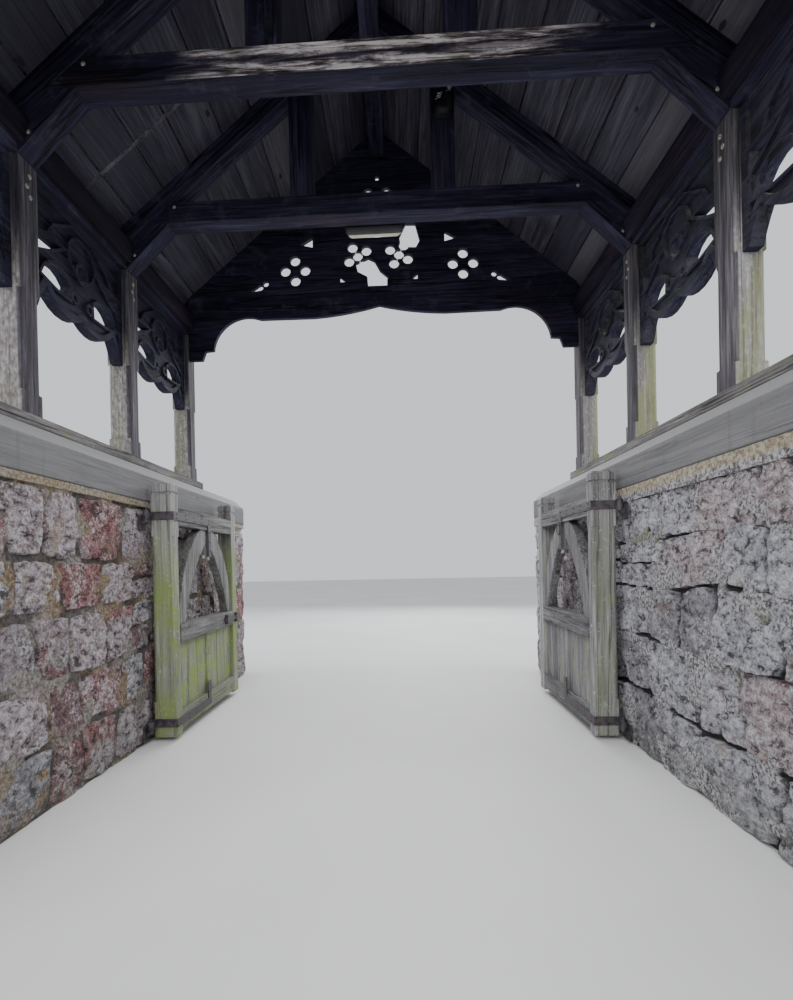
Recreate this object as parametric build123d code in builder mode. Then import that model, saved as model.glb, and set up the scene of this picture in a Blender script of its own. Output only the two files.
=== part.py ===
"""A timber lychgate on two dwarf stone walls, with a pair of gate leaves standing open.

The frame has its origin on the ground at the middle of the plan. X runs across the passage,
Y runs along it towards the churchyard and Z is up. Every length is in millimetres.
"""
from build123d import *
from math import cos, pi, radians, sin, tan
import os

# Plan of the passage and the dwarf walls
passage_half = 1180
wall_thickness = 400
wall_height = 1222
wall_half_length = 2085
wall_haunch_rise = 40

# Sill beam and the old sole plate on it
sill_height = 133
sill_bevel_run = 76
sill_bevel_rise = 68
sill_width = 306
sole_thickness = 44
sole_margin = 20
sole_overrun = 64

# Posts and wall plates
bay_length = 827
frame_count = 4
post_size = 114
post_height = 963
post_chamfer = 18
post_stop_bottom = 90
post_stop_top = 470
plate_height = 115

# Roof frame
roof_pitch = 39.6
rafter_depth = 105
rafter_seat_inset = 17
truss_thickness = 106
end_rafter_thickness = 65
rafter_tail = 50
collar_rise = 110
collar_depth = 105
queen_offset = 360
queen_width = 115
knee_reach = 224
ridge_width = 100
ridge_depth = 150

# Roof covering
roof_half_length = 1390
sarking_thickness = 20
eaves_run = 80
tile_gauge = 100
tile_lift = 15
tile_bed = 30
tile_eaves_overhang = 40
tile_verge_overhang = 20
ridge_tile_radius = 120
ridge_tile_thickness = 15
barge_thickness = 30
barge_depth = 150
barge_foot_cut = 90

# Cornice strip along the passage side of each wall plate
cornice_height = 88
cornice_depth = 46
cornice_foot = 24

# Traceried panels between the posts. Each pair of numbers is a place in one half of a panel,
# as its distance from the post and its height above the foot of the panel
tracery_thickness = 52
tracery_web = 38
tracery_rim = 13
tracery_band = 30
tracery_foot_drop = 500
tracery_foot_width = 34
tracery_foot_curve = (62, 60)
tracery_shoulder = (95, 109)
tracery_lobe = (252, 43)
tracery_valley_rise = 72
eye_tip = (64, 150)
eye_crown = (166, 228)
eye_head = (266, 190)
eye_throat = (262, 130)
eye_belly = (160, 134)
dagger_low = (38, 236)
dagger_high = (44, 316)
dagger_tip = (204, 322)
dagger_edge = (102, 262)
arch_inset = 14
arch_spring_rise = 90
arch_crown_lap = 6
oval_rise = 344
oval_half_width = 112
oval_half_height = 94
roundel_radius = 38
roundel_rise = 284
low_dot_radius = 15
low_dot_offset = 58
low_dot_rise = 152

# Pierced boards that fill the two gables
gable_thickness = 30
gable_cusp_drop = 184
gable_trough_offset = 430
gable_trough_drop = 247
gable_shoulder_offset = 790
gable_shoulder_drop = 244
gable_tip_offset = 1108
gable_tip_drop = 438
gable_bracket_drop = 500
gable_ogee_inset = 228
gable_ogee_rise = 22
gable_hollow_inset = 60
gable_hollow_rise = 135
gable_hook_width = 56
gable_hook_drop = 4
gable_bracket_inset = 78
foil_offset = 550
foil_rise = 64
foil_spread = 66
foil_radius = 34
inner_foil_offset = 135
inner_foil_rise = 142
inner_foil_turn = 30
gable_roundel_offset = 60
gable_roundel_rise = 550
gable_roundel_radius = 30
gable_top_dot_rise = 644
gable_top_dot_radius = 17
gable_dot_place = (748, -12)
gable_dot_radius = 20
gable_tear_place = (784, -36)
gable_tear_radius = 19
gable_tear_tip = (862, -64)

# Outlines of cut and broken places in the gable boards, from the middle and the collar's top
gable_wedge = [(432, 278), (432, 212), (512, 232)]
gable_notch = [(208, -24), (254, 14), (254, -24)]
broken_corner = [(181, 340), (244, 337), (272, 227), (246, 182), (204, 184), (143, 223), (138, 254)]
broken_edge = [
    (-150, 96),
    (-137, 39),
    (-75, 5),
    (-71, -57),
    (54, -58),
    (55, -16),
    (71, -10),
    (9, 43),
    (-26, 107),
    (-66, 128),
]

# Small round holes are drawn with few sides, which keeps the repeated panels light
foil_sides = 12
dot_sides = 8
oval_sides = 12
arch_steps = 7
foot_arc_sides = 3
lobe_arc_sides = 6
flat_arc_sides = 2
tracery_dot_sides = 6
tracery_roundel_sides = 10

# Lamps
lamp_width = 310
lamp_height = 104
lamp_base_depth = 62
lamp_lens_depth = 62
lamp_drop = 14
lamp_corner = 22
lamp_lens_inset = 8
lamp_front_inset = 22
lamp_front_depth = 20
spot_radius = 56
spot_corner = 32
spot_height = 150
spot_rise = 412
spot_steps = [(0, 16), (9, 24), (23, 16)]

# Gate leaves, standing open along the walls
closing_gap = 88
leaf_wall_gap = 24
hinge_setback = 50
hinge_wall_offset = 26
leaf_heel_y = 300
heel_width = 72
heel_thickness = 118
heel_chamfer = 14
heel_stop_bottom = 200
heel_stop_top = 1040
head_width = 90
head_thickness = 93
heel_bottom = 20
heel_top = 1313
head_bottom = 30
head_top = 1300
cap_height = 46
cap_groove = 12
cap_groove_depth = 6
cap_bevel = 10
rail_thickness = 70
rail_height = 92
bottom_rail_z = 48
middle_rail_z = 492
top_rail_z = 1100
brace_thickness = 50
brace_foot = 84
brace_outer_inset = 64
brace_outer_rise = 231
brace_inner_inset = 194
brace_inner_rise = 206
brace_head = 110
king_half_width = 42
king_drop = 160
brace_shoulder_drop = 90
panel_thickness = 25
muntin_width = 62
muntin_thickness = 40

# Ironwork of the gate
strap_thickness = 6
strap_height = 42
strap_reach_top = 545
strap_reach_bottom = 500
strap_toe_width = 50
strap_toe_top = 213
strap_drop_width = 44
strap_drop_bottom = 945
pin_radius = 8.5
pin_clearance = 0.4
eye_wall = 8
eye_sides = 12
shoulder_height = 14
shoulder_radius = 15
shank_size = 20
pintle_plate = 64
pintle_plate_thickness = 7
latch_length = 310
latch_height = 30
latch_projection = 34
latch_staple = 34

# Places that follow from the sizes above
sill_flat_z = wall_height + sill_height
sill_top_z = sill_flat_z + sill_bevel_rise
post_foot_z = sill_top_z + sole_thickness
post_top_z = post_foot_z + post_height
plate_top_z = post_top_z + plate_height
post_centre_x = passage_half + sill_width / 2
post_inner_x = post_centre_x - post_size / 2
post_outer_x = post_centre_x + post_size / 2
bay_clear = bay_length - post_size
tracery_foot_z = post_top_z - tracery_foot_drop
arch_crown_rise = tracery_foot_drop - tracery_band + arch_crown_lap
frame_y = [bay_length * (index - (frame_count - 1) / 2) for index in range(frame_count)]
slope = tan(radians(roof_pitch))
rafter_drop = rafter_depth / cos(radians(roof_pitch))
sarking_rise = sarking_thickness / cos(radians(roof_pitch))
tile_rise = sarking_rise + (tile_bed + tile_lift) / cos(radians(roof_pitch))
apex_z = plate_top_z + slope * (post_inner_x + rafter_seat_inset) + rafter_drop
collar_bottom_z = plate_top_z + collar_rise
collar_top_z = collar_bottom_z + collar_depth
eaves_x = post_outer_x + eaves_run
pin_x = passage_half - hinge_wall_offset
pin_y = leaf_heel_y - hinge_setback
leaf_length = pin_x - hinge_setback - closing_gap / 2
leaf_face_x = passage_half - leaf_wall_gap - heel_thickness
rail_centre_x = leaf_face_x + rail_thickness / 2
leaf_inner_y = leaf_heel_y + heel_width
leaf_outer_y = leaf_heel_y + leaf_length - head_width
rail_centre_y = (leaf_inner_y + leaf_outer_y) / 2
sides = {"left": -1, "right": 1}

os.makedirs("parts", exist_ok=True)


def keep(piece, node):
    """Label a finished piece and write it to its own file."""
    piece.part.label = node
    export_step(piece.part, f"parts/{node}.step")


def roof_z(x, lift=0):
    """Height of the rafters' upper line at a distance from the ridge, raised by a lift."""
    return apex_z - slope * abs(x) + lift


def section_plane(y):
    """Upright plane across the passage."""
    return Plane.XZ.offset(-y)


def side_plane(x, y=0):
    """Upright plane along the passage, with its zero at a given place along it."""
    return Plane(origin=(x, y, 0), x_dir=(0, 1, 0), z_dir=(1, 0, 0))


def fold(points, side):
    """Mirror the points of a right-hand section to the asked side."""
    return [(side * x, z) for x, z in points]


def faceted_round(half_width, half_height, sides):
    """Face of a round or oval hole drawn with a few straight sides."""
    steps = [2 * pi * (step + 0.5) / sides for step in range(sides)]
    with BuildSketch() as shape:
        with BuildLine():
            points = [(half_width * cos(turn), half_height * sin(turn)) for turn in steps]
            Polyline(*points, close=True)
        make_face()
    return shape.sketch


def cut_shape(points):
    """A straight-edged hole from its corners."""
    with BuildSketch() as shape:
        with BuildLine():
            Polyline(*points, close=True)
        make_face()
    return shape.sketch


def section_piece(outlines, y_centre, thickness):
    """A piece of one or more closed outlines seen along the passage, with a thickness."""
    with BuildPart() as piece:
        with BuildSketch(section_plane(y_centre)):
            for points in outlines:
                with BuildLine():
                    Polyline(*points, close=True)
                make_face()
        extrude(amount=thickness / 2, both=True)
    return piece


def make_wall(name, side):
    """Dwarf wall with a sloped haunch of mortar outside the sill."""
    outer_x = passage_half + wall_thickness
    section = [
        (passage_half, 0),
        (outer_x, 0),
        (outer_x, wall_height - wall_haunch_rise),
        (passage_half + sill_width, wall_height),
        (passage_half, wall_height),
    ]
    wall = section_piece([fold(section, side)], 0, 2 * wall_half_length)
    keep(wall, f"wall_{name}")


def make_sill(name, side):
    """Sill beam with an upright face and a weathered bevel on both edges."""
    outer_x = passage_half + sill_width
    section = [
        (passage_half, wall_height),
        (outer_x, wall_height),
        (outer_x, sill_flat_z),
        (outer_x - sill_bevel_run, sill_top_z),
        (passage_half + sill_bevel_run, sill_top_z),
        (passage_half, sill_flat_z),
    ]
    sill = section_piece([fold(section, side)], 0, 2 * wall_half_length)
    keep(sill, f"sill_{name}")


def make_sole_plate(name, side):
    """Thin old plate that the posts stand on."""
    half_length = frame_y[-1] + post_size / 2 + sole_overrun
    with BuildPart() as sole:
        with BuildSketch(Plane.XY.offset(sill_top_z)):
            with Locations((side * post_centre_x, 0)):
                Rectangle(post_size + 2 * sole_margin, 2 * half_length)
        extrude(amount=sole_thickness)
    keep(sole, f"sole_plate_{name}")


def make_post(name, side, index):
    """Square post, chamfered between two stops."""
    place = (side * post_centre_x, frame_y[index])
    chamfer_start = post_foot_z + post_stop_bottom
    chamfer_end = post_foot_z + post_stop_top
    with BuildPart() as post:
        with BuildSketch(Plane.XY.offset(post_foot_z)):
            with Locations(place):
                Rectangle(post_size, post_size)
        extrude(amount=post_stop_bottom)
        with BuildSketch(Plane.XY.offset(chamfer_start)):
            with Locations(place):
                outline = Rectangle(post_size, post_size)
            chamfer(outline.vertices(), post_chamfer)
        extrude(amount=chamfer_end - chamfer_start)
        with BuildSketch(Plane.XY.offset(chamfer_end)):
            with Locations(place):
                Rectangle(post_size, post_size)
        extrude(amount=post_top_z - chamfer_end)
    keep(post, f"post_{name}_{index + 1}")


def make_wall_plate(name, side):
    """Plate along the post heads, running out to the bargeboards."""
    with BuildPart() as plate:
        with BuildSketch(Plane.XY.offset(post_top_z)):
            with Locations((side * post_centre_x, 0)):
                Rectangle(post_size, 2 * (roof_half_length - barge_thickness))
        extrude(amount=plate_height)
    keep(plate, f"wall_plate_{name}")


def make_cornice(name, side):
    """Leaning strip on the inner face of the wall plate, one length in each bay."""
    foot_z = plate_top_z - cornice_height
    front_x = post_inner_x - cornice_depth
    section = [
        (post_inner_x, foot_z),
        (post_inner_x, plate_top_z),
        (front_x, plate_top_z),
        (front_x, plate_top_z - cornice_foot),
        (post_inner_x - cornice_foot, foot_z),
    ]
    with BuildPart() as cornice:
        for start, finish in zip(frame_y, frame_y[1:]):
            with BuildSketch(section_plane((start + finish) / 2)):
                with BuildLine():
                    Polyline(*fold(section, side), close=True)
                make_face()
            extrude(amount=(finish - start - truss_thickness) / 2, both=True)
    keep(cornice, f"cornice_{name}")


def tracery_place(place):
    """A place in a panel's right half, from its distance to the post and its rise."""
    inset, rise = place
    return (bay_clear / 2 - inset, rise)


def few_sided_arc(places, sides):
    """Points along a panel's arc through three places, joined later by straight sides."""
    arc = ThreePointArc(*[tracery_place(at) for at in places], mode=Mode.PRIVATE)
    return [arc @ (step / sides) for step in range(sides + 1)]


def tracery_outline():
    """Outer edge of a panel: feet against the posts and two lobes between them."""
    half = bay_clear / 2
    foot = (tracery_foot_width, 0)
    valley = (half, tracery_valley_rise)
    hollow = few_sided_arc((foot, tracery_foot_curve, tracery_shoulder), foot_arc_sides)
    lobe = few_sided_arc((tracery_shoulder, tracery_lobe, valley), lobe_arc_sides)
    with BuildSketch() as outline:
        with BuildLine():
            Polyline((0, tracery_foot_drop), (half, tracery_foot_drop), (half, 0), *hollow)
            Polyline(*lobe)
            mirror(about=Plane.YZ)
        make_face()
    return outline.sketch


def tracery_holes():
    """The eyes, the daggers above them, a roundel and two dots that pierce a panel."""
    with BuildSketch() as holes:
        with BuildLine():
            Polyline(*few_sided_arc((eye_tip, eye_crown, eye_head), lobe_arc_sides))
            Polyline(*few_sided_arc((eye_throat, eye_belly, eye_tip), flat_arc_sides))
            Line(tracery_place(eye_head), tracery_place(eye_throat))
        make_face()
        with BuildLine():
            Polyline(*[tracery_place(at) for at in (dagger_low, dagger_high, dagger_tip)])
            Polyline(*few_sided_arc((dagger_tip, dagger_edge, dagger_low), flat_arc_sides))
        make_face()
        mirror(about=Plane.YZ)
        with Locations((0, roundel_rise)):
            add(faceted_round(roundel_radius, roundel_radius, tracery_roundel_sides))
        with Locations((-low_dot_offset, low_dot_rise), (low_dot_offset, low_dot_rise)):
            add(faceted_round(low_dot_radius, low_dot_radius, tracery_dot_sides))
    return holes.sketch


def tracery_arch():
    """Rib that springs from both feet and curves over just below the wall plate."""
    turns = [pi * step / arch_steps for step in range(arch_steps + 1)]
    outer_width = bay_clear / 2 - arch_inset
    outer_height = arch_crown_rise - arch_spring_rise
    inner_width = outer_width - tracery_rim
    inner_height = outer_height - tracery_rim
    outer = [(outer_width * cos(t), arch_spring_rise + outer_height * sin(t)) for t in turns]
    inner = [(inner_width * cos(t), arch_spring_rise + inner_height * sin(t)) for t in turns]
    return cut_shape(outer + inner[::-1])


def tracery_ribs(outline, holes):
    """Raised mouldings: a band along the edge, an arch, an oval and rims round the openings."""
    with BuildSketch() as field:
        add(outline)
        offset(amount=-tracery_band, kind=Kind.INTERSECTION, mode=Mode.REPLACE)
    with BuildSketch() as rims:
        add(holes)
        offset(amount=tracery_rim, kind=Kind.INTERSECTION, mode=Mode.REPLACE)
    inner_width = oval_half_width - tracery_rim
    inner_height = oval_half_height - tracery_rim
    oval = faceted_round(oval_half_width, oval_half_height, oval_sides)
    with BuildSketch() as ribs:
        add(outline)
        add(field.sketch, mode=Mode.SUBTRACT)
        add(rims.sketch)
        with Locations((0, oval_rise)):
            add(oval - faceted_round(inner_width, inner_height, oval_sides))
        add(tracery_arch())
        add(outline, mode=Mode.INTERSECT)
        add(holes, mode=Mode.SUBTRACT)
    return ribs.sketch


def make_tracery(name, side, bay):
    """Carved panel between two posts: a pierced web with raised ribs on the passage side."""
    centre_y = (frame_y[bay] + frame_y[bay + 1]) / 2
    outer_face = Plane(
        origin=(side * (post_centre_x + tracery_thickness / 2), centre_y, tracery_foot_z),
        x_dir=(0, 1, 0),
        z_dir=(1, 0, 0),
    )
    outline = tracery_outline()
    holes = tracery_holes()
    with BuildPart() as panel:
        with BuildSketch(outer_face):
            add(outline)
            add(holes, mode=Mode.SUBTRACT)
        extrude(amount=-side * tracery_web)
        with BuildSketch(outer_face):
            add(tracery_ribs(outline, holes))
        extrude(amount=-side * tracery_thickness)
    keep(panel, f"tracery_{name}_{bay + 1}")


def make_rafters(index):
    """The two rafters of one frame, seated on the plates and butting the ridge beam."""
    outward = {0: -1, frame_count - 1: 1}.get(index, 0)
    thickness = end_rafter_thickness if outward else truss_thickness
    y_centre = frame_y[index] + outward * (post_size - thickness) / 2
    half_ridge = ridge_width / 2
    tail_x = post_outer_x + rafter_tail
    seat_x = post_inner_x + rafter_seat_inset
    section = [
        (half_ridge, roof_z(half_ridge)),
        (tail_x, roof_z(tail_x)),
        (tail_x, roof_z(tail_x, -rafter_drop)),
        (post_outer_x, roof_z(post_outer_x, -rafter_drop)),
        (post_outer_x, plate_top_z),
        (seat_x, plate_top_z),
        (half_ridge, roof_z(half_ridge, -rafter_drop)),
    ]
    pair = section_piece([fold(section, -1), fold(section, 1)], y_centre, thickness)
    keep(pair, f"rafters_{index + 1}")


def underside_x(z):
    """Distance from the ridge at which the rafters' underside has a height."""
    return (apex_z - rafter_drop - z) / slope


def make_collar(index):
    """Collar beam cut to the underside of the rafters."""
    section = [
        (-underside_x(collar_bottom_z), collar_bottom_z),
        (underside_x(collar_bottom_z), collar_bottom_z),
        (underside_x(collar_top_z), collar_top_z),
        (-underside_x(collar_top_z), collar_top_z),
    ]
    collar = section_piece([section], frame_y[index], truss_thickness)
    keep(collar, f"collar_{index + 1}")


def make_queen_struts(index):
    """Two upright struts between the collar and the rafters."""
    near_x = queen_offset - queen_width / 2
    far_x = queen_offset + queen_width / 2
    section = [
        (near_x, collar_top_z),
        (far_x, collar_top_z),
        (far_x, roof_z(far_x, -rafter_drop)),
        (near_x, roof_z(near_x, -rafter_drop)),
    ]
    struts = section_piece([fold(section, -1), fold(section, 1)], frame_y[index], truss_thickness)
    keep(struts, f"queen_struts_{index + 1}")


def make_knee_braces(index):
    """Solid knees that turn each corner below the collar into a half octagon."""
    section = [
        (post_inner_x - knee_reach, collar_bottom_z),
        (underside_x(collar_bottom_z), collar_bottom_z),
        (post_inner_x, roof_z(post_inner_x, -rafter_drop)),
        (post_inner_x, collar_bottom_z - knee_reach),
    ]
    knees = section_piece([fold(section, -1), fold(section, 1)], frame_y[index], truss_thickness)
    keep(knees, f"knee_braces_{index + 1}")


def make_ridge_beam():
    """Ridge beam between the heads of the rafters."""
    half_width = ridge_width / 2
    bottom_z = roof_z(half_width) - ridge_depth
    section = [
        (-half_width, bottom_z),
        (half_width, bottom_z),
        (half_width, roof_z(half_width)),
        (0, apex_z),
        (-half_width, roof_z(half_width)),
    ]
    beam = section_piece([section], 0, 2 * (roof_half_length - barge_thickness))
    keep(beam, "ridge_beam")


def gable_outline():
    """Edge of a gable board: roof slopes above, a double ogee with hooked ends below."""
    cusp = (0, collar_top_z - gable_cusp_drop)
    trough = (gable_trough_offset, collar_top_z - gable_trough_drop)
    shoulder = (gable_shoulder_offset, collar_top_z - gable_shoulder_drop)
    tip = (gable_tip_offset, collar_top_z - gable_tip_drop)
    ogee = (trough[0] - gable_ogee_inset, trough[1] + gable_ogee_rise)
    hollow = (tip[0] - gable_hollow_inset, tip[1] + gable_hollow_rise)
    hook = (tip[0] + gable_hook_width, tip[1] - gable_hook_drop)
    bracket_x = tip[0] + gable_bracket_inset
    bracket_z = collar_top_z - gable_bracket_drop
    half_ridge = ridge_width / 2
    ridge_foot_z = roof_z(half_ridge) - ridge_depth
    with BuildSketch() as outline:
        with BuildLine():
            ThreePointArc(cusp, ogee, trough)
            Line(trough, shoulder)
            ThreePointArc(shoulder, hollow, tip)
            Line(tip, hook)
            Line(hook, (bracket_x, bracket_z))
            Line((bracket_x, bracket_z), (post_inner_x, bracket_z))
            Line((post_inner_x, bracket_z), (post_inner_x, roof_z(post_inner_x)))
            Line((post_inner_x, roof_z(post_inner_x)), (half_ridge, roof_z(half_ridge)))
            Line((half_ridge, roof_z(half_ridge)), (half_ridge, ridge_foot_z))
            Line((half_ridge, ridge_foot_z), (0, ridge_foot_z))
            mirror(about=Plane.YZ)
        make_face()
    return outline.sketch


def four_foil(centre, turn, core):
    """Four round lobes about a centre, open to each other through a core if it has one."""
    lobe = faceted_round(foil_radius, foil_radius, foil_sides)
    with BuildSketch() as foil:
        with Locations(centre):
            if core:
                add(faceted_round(core, core, dot_sides))
            with PolarLocations(foil_spread, 4, start_angle=turn):
                add(lobe)
    return foil.sketch


def gable_tear():
    """Drop-shaped hole with its tip towards the eaves."""
    across = (Vector(*gable_tear_tip) - Vector(*gable_tear_place)).normalized()
    side_step = Vector(-across.Y, across.X) * gable_tear_radius
    start = Vector(*gable_tear_place) + side_step
    finish = Vector(*gable_tear_place) - side_step
    with BuildSketch() as tear:
        with Locations(gable_tear_place):
            add(faceted_round(gable_tear_radius, gable_tear_radius, dot_sides))
        add(cut_shape([start, finish, gable_tear_tip]))
    return tear.sketch


def gable_holes():
    """Every hole of a gable board, measured from the middle and the top of the collars."""
    with BuildSketch() as half:
        add(four_foil((foil_offset, foil_rise), 0, 0))
        add(four_foil((inner_foil_offset, inner_foil_rise), -inner_foil_turn, foil_radius))
        add(cut_shape(gable_wedge))
        add(cut_shape(gable_notch))
        add(gable_tear())
        with Locations(gable_dot_place):
            add(faceted_round(gable_dot_radius, gable_dot_radius, dot_sides))
        with Locations((gable_roundel_offset, gable_roundel_rise)):
            add(faceted_round(gable_roundel_radius, gable_roundel_radius, foil_sides))
        mirror(about=Plane.YZ)
        with Locations((0, gable_top_dot_rise)):
            add(faceted_round(gable_top_dot_radius, gable_top_dot_radius, dot_sides))
    return half.sketch


def make_gable_board(name, index):
    """Pierced board that fills one gable, fixed to the passage side of its rafters."""
    outward = 1 if index > 0 else -1
    rafter_face = frame_y[index] + outward * (post_size / 2 - end_rafter_thickness)
    board_plane = section_plane(rafter_face - outward * gable_thickness / 2)
    outline = gable_outline()
    with BuildPart() as board:
        with BuildSketch(board_plane):
            add(outline)
            with Locations((0, collar_top_z)):
                add(gable_holes(), mode=Mode.SUBTRACT)
                if name == "back":
                    add(cut_shape(broken_edge), mode=Mode.SUBTRACT)
                    add(cut_shape(broken_corner), mode=Mode.SUBTRACT)
        extrude(amount=gable_thickness / 2, both=True)
    keep(board, f"gable_board_{name}")


def make_bargeboards(name, end):
    """Pair of bargeboards mitred at the ridge, covering the ends of the roof boards."""
    foot_x = eaves_x
    top = sarking_rise
    below = top - barge_depth / cos(radians(roof_pitch))
    outline = [
        (0, roof_z(0, top)),
        (foot_x, roof_z(foot_x, top)),
        (foot_x, roof_z(foot_x, top) - barge_foot_cut),
        (foot_x - barge_foot_cut, roof_z(foot_x - barge_foot_cut, below)),
        (0, roof_z(0, below)),
    ]
    whole = fold(outline, 1) + fold(outline[-2:0:-1], -1)
    y_centre = end * (roof_half_length - barge_thickness / 2)
    keep(section_piece([whole], y_centre, barge_thickness), f"bargeboards_{name}")


def make_sarking(name, side):
    """Close boarding laid over the rafters of one slope."""
    section = [
        (0, roof_z(0)),
        (eaves_x, roof_z(eaves_x)),
        (eaves_x, roof_z(eaves_x, sarking_rise)),
        (0, roof_z(0, sarking_rise)),
    ]
    boards = section_piece([fold(section, side)], 0, 2 * (roof_half_length - barge_thickness))
    keep(boards, f"sarking_{name}")


def make_tiles(name, side):
    """Clay tile covering of one slope, stepped at the tail of every course."""
    run = (eaves_x + tile_eaves_overhang) / cos(radians(roof_pitch))
    course_count = int((run - 1.5 * ridge_tile_radius) // tile_gauge)

    def at(along, above):
        x = along * cos(radians(roof_pitch)) + above * sin(radians(roof_pitch))
        z = roof_z(0, sarking_rise) - along * sin(radians(roof_pitch))
        return (x, z + above * cos(radians(roof_pitch)))

    section = [at(run, 0)]
    for course in range(course_count):
        tail = run - course * tile_gauge
        section.append(at(tail, tile_bed + tile_lift))
        section.append(at(tail - tile_gauge, tile_bed))
    section.append(at(run - course_count * tile_gauge, tile_bed + tile_lift))
    section.append((0, roof_z(0, tile_rise)))
    section.append((0, roof_z(0, sarking_rise)))
    half_length = roof_half_length + tile_verge_overhang
    keep(section_piece([fold(section, side)], 0, 2 * half_length), f"tiles_{name}")


def make_ridge_tiles():
    """Half-round ridge tiles bedded astride the two slopes."""
    bed_x = ridge_tile_radius - ridge_tile_thickness
    bed_z = roof_z(bed_x, tile_rise)
    with BuildPart() as ridge:
        with BuildSketch(section_plane(0)):
            with BuildLine():
                CenterArc((0, bed_z), ridge_tile_radius, 0, 180)
                Line((-ridge_tile_radius, bed_z), (-bed_x, bed_z))
                CenterArc((0, bed_z), bed_x, 0, 180)
                Line((bed_x, bed_z), (ridge_tile_radius, bed_z))
            make_face()
        extrude(amount=roof_half_length + tile_verge_overhang, both=True)
    keep(ridge, "ridge_tiles")


def lamp_block(face_y, centre, size, corner, amount):
    """One step of a lamp: a rectangle with cut corners, seen along the passage."""
    with BuildPart() as block:
        with BuildSketch(section_plane(face_y)):
            with Locations(centre):
                outline = Rectangle(*size)
            chamfer(outline.vertices(), corner)
        extrude(amount=amount)
    return block.part


def make_bulkhead_lamp():
    """Oblong lamp on the far face of the third frame's collar: base, lens and its front."""
    face_y = frame_y[2] + truss_thickness / 2
    centre = (0, collar_bottom_z + lamp_height / 2 - lamp_drop)
    steps = [
        (0, lamp_base_depth),
        (lamp_lens_inset, lamp_lens_depth - lamp_front_depth),
        (lamp_front_inset, lamp_front_depth),
    ]
    with BuildPart() as lamp:
        for inset, depth in steps:
            size = (lamp_width - 2 * inset, lamp_height - 2 * inset)
            add(lamp_block(face_y, centre, size, lamp_corner, -depth))
            face_y += depth
    keep(lamp, "bulkhead_lamp")


def make_spot_lamp():
    """Domed lamp in three steps on the near face of the third frame's right strut."""
    face_y = frame_y[2] - truss_thickness / 2
    centre = (queen_offset, collar_top_z + spot_rise)
    with BuildPart() as lamp:
        for inset, depth in spot_steps:
            size = (2 * (spot_radius - inset), spot_height - 2 * inset)
            add(lamp_block(face_y, centre, size, spot_corner - inset / 2, depth))
            face_y -= depth
    keep(lamp, "spot_lamp")


def stile_block(x, y, size, bottom, top, inset=0, corner=0):
    """One length of a stile, drawn in on all sides or with chamfered corners."""
    width, thickness = size
    with BuildPart() as block:
        with BuildSketch(Plane.XY.offset(bottom)):
            with Locations((x, y + width / 2)):
                outline = Rectangle(thickness - 2 * inset, width - 2 * inset)
            if corner:
                chamfer(outline.vertices(), corner)
        extrude(amount=top - bottom)
    return block.part


def leaf_stile(name, side, kind, y, size, bottom, top):
    """Upright of a gate leaf with a grooved cap; the heel has stopped chamfers."""
    x = side * (leaf_face_x + size[1] / 2)
    cap_z = top - cap_height
    groove_z = cap_z - cap_groove
    with BuildPart() as stile:
        if kind == "heel":
            add(stile_block(x, y, size, bottom, heel_stop_bottom))
            add(stile_block(x, y, size, heel_stop_bottom, heel_stop_top, corner=heel_chamfer))
            add(stile_block(x, y, size, heel_stop_top, groove_z))
        else:
            add(stile_block(x, y, size, bottom, groove_z))
        add(stile_block(x, y, size, groove_z, cap_z, inset=cap_groove_depth))
        add(stile_block(x, y, size, cap_z, top))
        chamfer(stile.faces().sort_by(Axis.Z)[-1].edges(), cap_bevel)
    keep(stile, f"gate_{name}_{kind}_stile")


def leaf_rails(name, side):
    """Top, middle and bottom rails between the stiles."""
    with BuildPart() as rails:
        for rail_z in (bottom_rail_z, middle_rail_z, top_rail_z):
            with BuildSketch(Plane.XY.offset(rail_z)):
                with Locations((side * rail_centre_x, rail_centre_y)):
                    Rectangle(rail_thickness, leaf_outer_y - leaf_inner_y)
            extrude(amount=rail_height)
    keep(rails, f"gate_{name}_rails")


def leaf_braces(name, side):
    """Two broad curved braces that form a pointed arch, with a short king piece between."""
    spring_z = middle_rail_z + rail_height
    half = (leaf_outer_y - leaf_inner_y) / 2
    shoulder_z = top_rail_z - brace_shoulder_drop
    outer_middle = (half - brace_outer_inset, spring_z + brace_outer_rise)
    inner_middle = (half - brace_inner_inset, spring_z + brace_inner_rise)
    with BuildPart() as braces:
        with BuildSketch(side_plane(side * rail_centre_x, rail_centre_y)):
            with BuildLine():
                Line((half - brace_foot, spring_z), (half, spring_z))
                ThreePointArc((half, spring_z), outer_middle, (brace_head, top_rail_z))
                Line((brace_head, top_rail_z), (king_half_width, top_rail_z))
                Line((king_half_width, top_rail_z), (king_half_width, shoulder_z))
                ThreePointArc(
                    (king_half_width, shoulder_z),
                    inner_middle,
                    (half - brace_foot, spring_z),
                )
            make_face()
            mirror(about=Plane.YZ)
            with Locations((0, top_rail_z - king_drop / 2)):
                Rectangle(2 * king_half_width, king_drop)
        extrude(amount=brace_thickness / 2, both=True)
    keep(braces, f"gate_{name}_braces")


def leaf_panel(name, side):
    """Boarded lower panel with a middle muntin."""
    bottom_z = bottom_rail_z + rail_height
    height = middle_rail_z - bottom_z
    with BuildPart() as panel:
        with BuildSketch(Plane.XY.offset(bottom_z)):
            with Locations((side * rail_centre_x, rail_centre_y)):
                Rectangle(panel_thickness, leaf_outer_y - leaf_inner_y)
                Rectangle(muntin_thickness, muntin_width)
        extrude(amount=height)
    keep(panel, f"gate_{name}_panel")


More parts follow.
